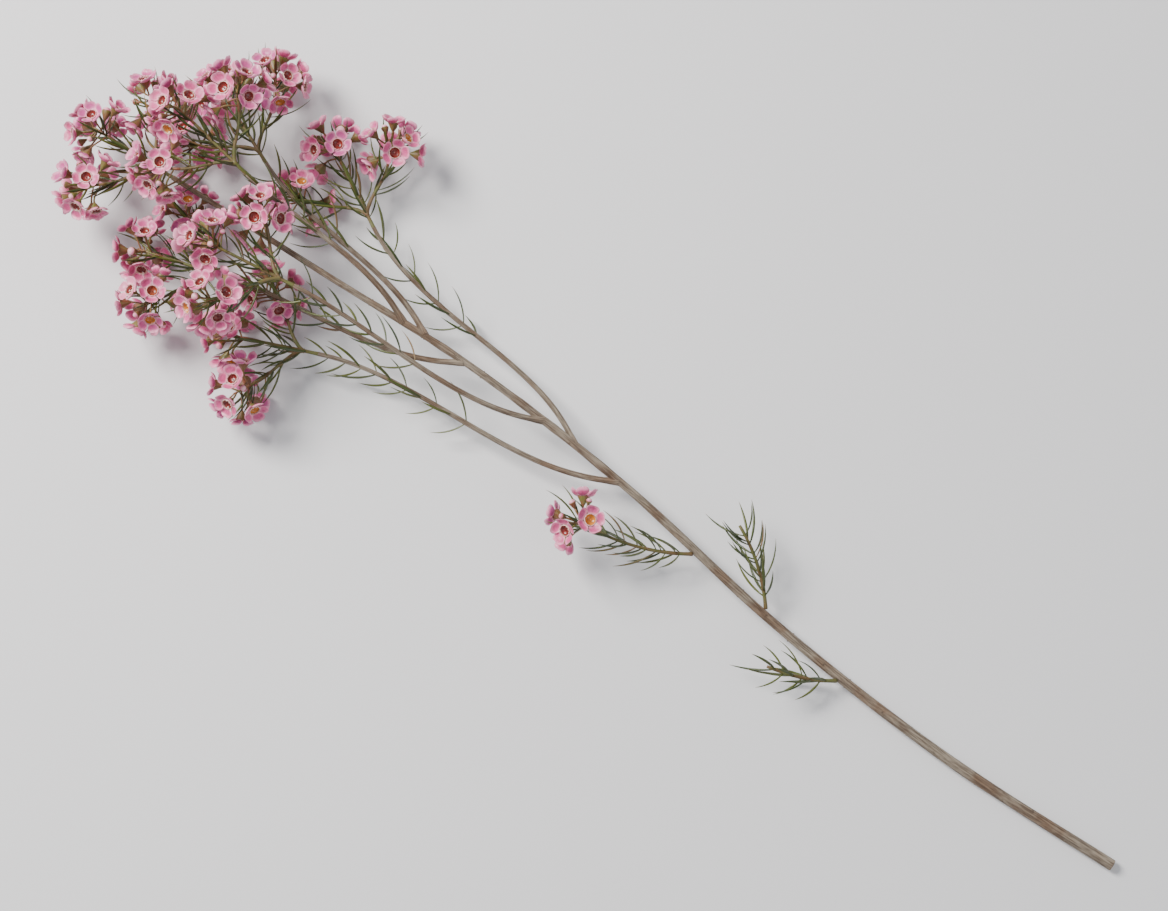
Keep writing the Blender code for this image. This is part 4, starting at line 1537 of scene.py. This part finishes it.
def bark_paint(tree, look):
    furrows = tree.effect("long_grain", Around=3.2, Along=95.0, Detail=6.0, Low=0.34, High=0.6)
    fibres = tree.effect("long_grain", Around=11.0, Along=160.0, Detail=3.0, Low=0.3, High=0.7)
    patches = tree.effect("mottling", Scale=55.0, Spread=0.12)
    colour = tree.blend(patches, look.bark, look.bark_grey)
    colour = tree.over(colour, fibres, 0.35, look.bark_grey)
    shade = tree.value("SUBTRACT", 1.0, furrows)
    colour = tree.over(colour, shade, 0.75, look.bark_furrow)
    relief = tree.effect("fine_relief", Scale=1300.0, Cells=0.4)
    ridges = tree.value("ADD", tree.times(furrows, 1.4), tree.times(fibres, 0.5))
    height = tree.value("ADD", ridges, tree.times(relief, 0.35))
    return tree.skin(colour, furrows, 0.92, 0.7, height, 0.8, 0.4 * MM)


def cut_wood_paint(tree, look):
    _, v = tree.growth_map()
    patches = tree.effect("mottling", Scale=900.0, Spread=0.2)
    colour = tree.over(look.cut_wood, patches, 0.5, look.bark_grey)
    rings = tree.clamped("MULTIPLY", tree.value("SINE", tree.times(v, 34.0)), 0.3)
    colour = tree.blend(rings, colour, look.bark)
    pith = tree.step(v, 0.1, 0.26, 0.6, 0.0)
    colour = tree.blend(pith, colour, look.bark_furrow)
    rim = tree.step(v, 0.86, 0.96)
    colour = tree.blend(rim, colour, look.bark_furrow)
    relief = tree.effect("fine_relief", Scale=2600.0, Cells=0.6)
    return tree.skin(colour, patches, 0.7, 0.88, relief, 0.5)


def floor_paint(tree, look):
    patches = tree.effect("mottling", Scale=9.0, Spread=0.4)
    colour = tree.over(look.floor, patches, 0.12, look.floor_shade)
    return {"Base Color": colour, "Roughness": tree.step(patches, 0.0, 1.0, 0.8, 0.9)}


def colour_property(name, description, default):
    return FloatVectorProperty(
        name=name, description=description, default=default, subtype="COLOR", min=0.0, max=1.0
    )


def length_property(name, description, default):
    return FloatProperty(
        name=name, description=description, default=default, unit="LENGTH", min=0.0
    )


def power_property(name, description, default):
    return FloatProperty(
        name=name, description=description, default=default, unit="POWER", min=0.0
    )


def angle_property(name, description, degrees):
    return FloatProperty(
        name=name, description=description, default=math.radians(degrees), subtype="ANGLE"
    )


class BloomSettings(bpy.types.PropertyGroup):
    """Sizes and colours of the blooms and buds."""

    petal_width: length_property("Petal width", "Width of a petal at its widest", 5.9 * MM)
    petal_thickness: length_property("Petal thickness", "At the middle of a petal", 0.34 * MM)
    young_share: FloatProperty(
        name="Young blooms", description="Share of the blooms whose cup is still orange",
        default=0.12, min=0.0, max=1.0, subtype="FACTOR",
    )
    petal: colour_property("Petal", "Pink of the petals", (0.70, 0.115, 0.30))
    petal_deep: colour_property("Petal depth", "Pink of veins and patches", (0.34, 0.035, 0.10))
    petal_lilac: colour_property("Petal lilac", "Cooler pink of some blooms", (0.49, 0.10, 0.33))
    petal_margin: colour_property("Petal margin", "Pink of margins and throat", (0.95, 0.41, 0.56))
    cup: colour_property("Cup", "Dark red of a ripe cup", (0.17, 0.01, 0.014))
    # Painted sheen: the lighter orange-red mottled into a ripe cup in place of its sheen.
    cup_painted_sheen: colour_property("Cup painted sheen", "Lighter red in a ripe cup", (0.36, 0.05, 0.02))
    young_cup: colour_property("Young cup", "Orange of a young cup", (0.62, 0.22, 0.02))
    crown: colour_property("Crown", "Cream of the crown of stamens", (0.88, 0.68, 0.58))
    anther: colour_property("Anther", "Buff of the anthers", (0.60, 0.42, 0.22))
    calyx: colour_property("Calyx", "Green of stalks and calyces", (0.13, 0.14, 0.022))
    calyx_flush: colour_property("Calyx flush", "Red-brown flush of calyces", (0.23, 0.055, 0.035))
    calyx_rib: colour_property("Calyx rib", "Paler green of the ribs", (0.26, 0.26, 0.10))


class LeafSettings(bpy.types.PropertyGroup):
    """Sizes and colours of the needle leaves and twigs."""

    needle_width: length_property("Needle width", "Width of a needle leaf", 1.3 * MM)
    needle: colour_property("Needle", "Dark green of the needles", (0.024, 0.045, 0.004))
    needle_light: colour_property("Needle light", "Green of fresher needles", (0.11, 0.125, 0.012))
    needle_dry: colour_property("Needle dry", "Brown of dry needles and tips", (0.24, 0.13, 0.05))
    twig: colour_property("Twig", "Olive green of the twigs", (0.11, 0.115, 0.035))
    twig_brown: colour_property("Twig brown", "Brown of the older twigs", (0.15, 0.07, 0.035))


class WoodSettings(bpy.types.PropertyGroup):
    """Sizes and colours of the woody stem."""

    scar_pitch: length_property("Scar pitch", "From one pair of leaf scars to the next", 17 * MM)
    bark: colour_property("Bark", "Brown of the bark", (0.20, 0.12, 0.07))
    bark_grey: colour_property("Bark grey", "Weathered grey of the bark", (0.34, 0.28, 0.21))
    bark_furrow: colour_property("Bark furrow", "Dark brown in the furrows", (0.055, 0.03, 0.018))
    cut_wood: colour_property("Cut wood", "Pale wood of the cut end", (0.58, 0.43, 0.24))


class StageSettings(bpy.types.PropertyGroup):
    """Floor, lights and camera."""

    floor: colour_property("Floor", "Colour of the floor", (0.77, 0.77, 0.785))
    floor_shade: colour_property("Floor shade", "Second colour of the floor", (0.70, 0.70, 0.715))
    lens: FloatProperty(
        name="Lens", description="Focal length in millimetres", default=70.0, min=10.0
    )
    camera_distance: length_property("Camera distance", "From the camera to what it looks at", 1.04)
    camera_elevation: angle_property(
        "Camera elevation", "How steeply the camera looks down", 79
    )
    stem_turn: angle_property(
        "Stem turn", "How far the stem points to the left of the picture's top", 53
    )
    key_power: power_property("Key light", "Power of the main light", 40.0)
    fill_power: power_property("Fill light", "Power of the fill light", 5.0)
    sky_strength: FloatProperty(
        name="Sky", description="Strength of the light from all round", default=0.5, min=0.0
    )


class WaxflowerSettings(bpy.types.PropertyGroup):
    """Everything that can be changed about the stem."""

    blooms: PointerProperty(type=BloomSettings, name="Blooms")
    leaves: PointerProperty(type=LeafSettings, name="Leaves")
    wood: PointerProperty(type=WoodSettings, name="Wood")
    stage: PointerProperty(type=StageSettings, name="Stage")


class WAXFLOWER_OT_woody_stem(bpy.types.Operator):
    """Make the woody stem with its side branches"""

    bl_idname = "waxflower.woody_stem"
    bl_label = "Woody stem"

    def execute(self, context):
        look = context.scene.waxflower.wood
        materials = [
            finish("stem_bark", bark_paint, look),
            finish("stem_cut_wood", cut_wood_paint, look),
        ]
        woody_stem(layout(), look, materials)
        return {"FINISHED"}


class WAXFLOWER_OT_leafy_twigs(bpy.types.Operator):
    """Make the green twigs with their needle leaves"""

    bl_idname = "waxflower.leafy_twigs"
    bl_label = "Leafy twigs"

    def execute(self, context):
        look = context.scene.waxflower.leaves
        materials = [
            finish("twig_skin", twig_paint, look),
            finish("needle_leaf", needle_paint, look, Coat_Weight=0.2, Coat_Roughness=0.3),
        ]
        grown = layout()
        for name, paths in fine_twigs(grown).items():
            leafy_twigs(name, paths, grown.needles[name], look, materials)
        return {"FINISHED"}


class WAXFLOWER_OT_flower_heads(bpy.types.Operator):
    """Make the flower heads with their blooms and buds"""

    bl_idname = "waxflower.flower_heads"
    bl_label = "Flower heads"

    def execute(self, context):
        look = context.scene.waxflower.blooms
        waxy = {
            "Coat_Weight": 0.18,
            "Coat_Roughness": 0.32,
            "Subsurface_Weight": 0.12,
            "Subsurface_Radius": (1.0, 0.45, 0.6),
            "Subsurface_Scale": MM,
        }
        materials = [
            finish("waxy_petal", petal_paint, look, **waxy),
            finish("calyx_skin", calyx_paint, look),
            finish("bloom_cup", cup_paint, look, Coat_Weight=0.4, Coat_Roughness=0.15),
            finish("stamen_crown", crown_paint, look),
            finish("anther_grain", anther_paint, look),
            finish("bud_skin", bud_paint, look, **waxy),
        ]
        patterns = Patterns()
        for head in layout().heads:
            flower_head(head, look, patterns, materials)
        return {"FINISHED"}


class WAXFLOWER_OT_stage(bpy.types.Operator):
    """Make the floor, the lights and the camera"""

    bl_idname = "waxflower.stage"
    bl_label = "Stage"

    def execute(self, context):
        settings = context.scene.waxflower.stage
        add_floor(settings)
        add_lights(settings)
        add_camera(settings)
        return {"FINISHED"}


class WAXFLOWER_PT_panel(bpy.types.Panel):
    """Lists the settings and the steps that make the stem"""

    bl_idname = "WAXFLOWER_PT_panel"
    bl_label = "Waxflower stem"
    bl_space_type = "VIEW_3D"
    bl_region_type = "UI"
    bl_category = "Waxflower"

    def draw(self, context):
        settings = context.scene.waxflower
        for operator, group in STEPS:
            box = self.layout.box()
            box.operator(operator.bl_idname)
            part = getattr(settings, group)
            for name in part.__annotations__:
                box.prop(part, name)


FLOOR_SIZE = 8.0
FLOOR_HEIGHT = -0.4 * MM

# Where the camera looks: to the right, to the top of the picture and up from the part's origin.
LOOK_AT_RIGHT = -3 * MM
LOOK_AT_TOP = 5 * MM
LOOK_AT_HEIGHT = 30 * MM

# Each light: how far it stands to the right, to the top and above, its width, and its colour.
KEY_PLACE = (-0.85, 0.55, 1.15)
KEY_SIZE = 0.7
KEY_COLOUR = (1.0, 0.97, 0.93)
FILL_PLACE = (1.1, -0.7, 0.9)
FILL_SIZE = 1.2
FILL_COLOUR = (0.93, 0.96, 1.0)
SKY_COLOUR = (0.93, 0.95, 1.0, 1.0)


def add_floor(settings):
    half = FLOOR_SIZE / 2
    mesh = bpy.data.meshes.new("floor")
    corners = [(-half, -half, FLOOR_HEIGHT), (half, -half, FLOOR_HEIGHT)]
    corners += [(half, half, FLOOR_HEIGHT), (-half, half, FLOOR_HEIGHT)]
    mesh.from_pydata(corners, [], [(0, 1, 2, 3)])
    mesh.materials.append(finish("floor_paper", floor_paint, settings))
    floor = bpy.data.objects.new("floor", mesh)
    bpy.context.scene.collection.objects.link(floor)


def picture_axes(settings):
    """The floor directions that point to the top and to the right of the picture."""
    turn = settings.stem_turn
    top = Vector((math.sin(turn), math.cos(turn), 0))
    return top, top.cross(UP)


def aim(thing, target):
    """Turns a light or a camera to look at a point."""
    thing.rotation_euler = (target - thing.location).to_track_quat("-Z", "Y").to_euler()


def add_area_light(name, place, size, power, colour):
    lamp = bpy.data.lights.new(name, "AREA")
    lamp.shape = "DISK"
    lamp.size = size
    lamp.energy = power
    lamp.color = colour
    made = bpy.data.objects.new(name, lamp)
    made.location = place
    aim(made, Vector((0, 0, 0)))
    bpy.context.scene.collection.objects.link(made)


def add_lights(settings):
    """A soft key from the picture's upper left, a fill from its lower right, and a pale sky."""
    top, right = picture_axes(settings)
    axes = Matrix((right, top, UP)).transposed()
    key_place, fill_place = axes @ Vector(KEY_PLACE), axes @ Vector(FILL_PLACE)
    add_area_light("key_light", key_place, KEY_SIZE, settings.key_power, KEY_COLOUR)
    add_area_light("fill_light", fill_place, FILL_SIZE, settings.fill_power, FILL_COLOUR)
    world = bpy.data.worlds.new("sky")
    world.use_nodes = True
    background = world.node_tree.nodes["Background"]
    background.inputs["Color"].default_value = SKY_COLOUR
    background.inputs["Strength"].default_value = settings.sky_strength
    bpy.context.scene.world = world


def add_camera(settings):
    """A camera that looks down on the stem, which runs up to the picture's upper left."""
    top, right = picture_axes(settings)
    target = right * LOOK_AT_RIGHT + top * LOOK_AT_TOP + UP * LOOK_AT_HEIGHT
    steep = settings.camera_elevation
    away = top * -math.cos(steep) + UP * math.sin(steep)
    over = away.cross(right)
    camera = bpy.data.cameras.new("camera")
    camera.lens = settings.lens
    made = bpy.data.objects.new("camera", camera)
    turn = Matrix((right, over, away)).transposed()
    made.matrix_world = Matrix.Translation(target + away * settings.camera_distance) @ turn.to_4x4()
    bpy.context.scene.collection.objects.link(made)
    bpy.context.scene.camera = made


STEPS = (
    (WAXFLOWER_OT_woody_stem, "wood"),
    (WAXFLOWER_OT_leafy_twigs, "leaves"),
    (WAXFLOWER_OT_flower_heads, "blooms"),
    (WAXFLOWER_OT_stage, "stage"),
)
CLASSES = (
    BloomSettings,
    LeafSettings,
    WoodSettings,
    StageSettings,
    WaxflowerSettings,
    *[operator for operator, _ in STEPS],
    WAXFLOWER_PT_panel,
)


def register():
    for made in CLASSES:
        bpy.utils.register_class(made)
    bpy.types.Scene.waxflower = PointerProperty(type=WaxflowerSettings)


def unregister():
    """Takes everything out again, newest first."""
    del bpy.types.Scene.waxflower
    for made in reversed(CLASSES):
        bpy.utils.unregister_class(made)


def main():
    register()
    bpy.ops.waxflower.woody_stem()
    bpy.ops.waxflower.leafy_twigs()
    bpy.ops.waxflower.flower_heads()
    bpy.ops.waxflower.stage()


if __name__ == "__main__":
    main()
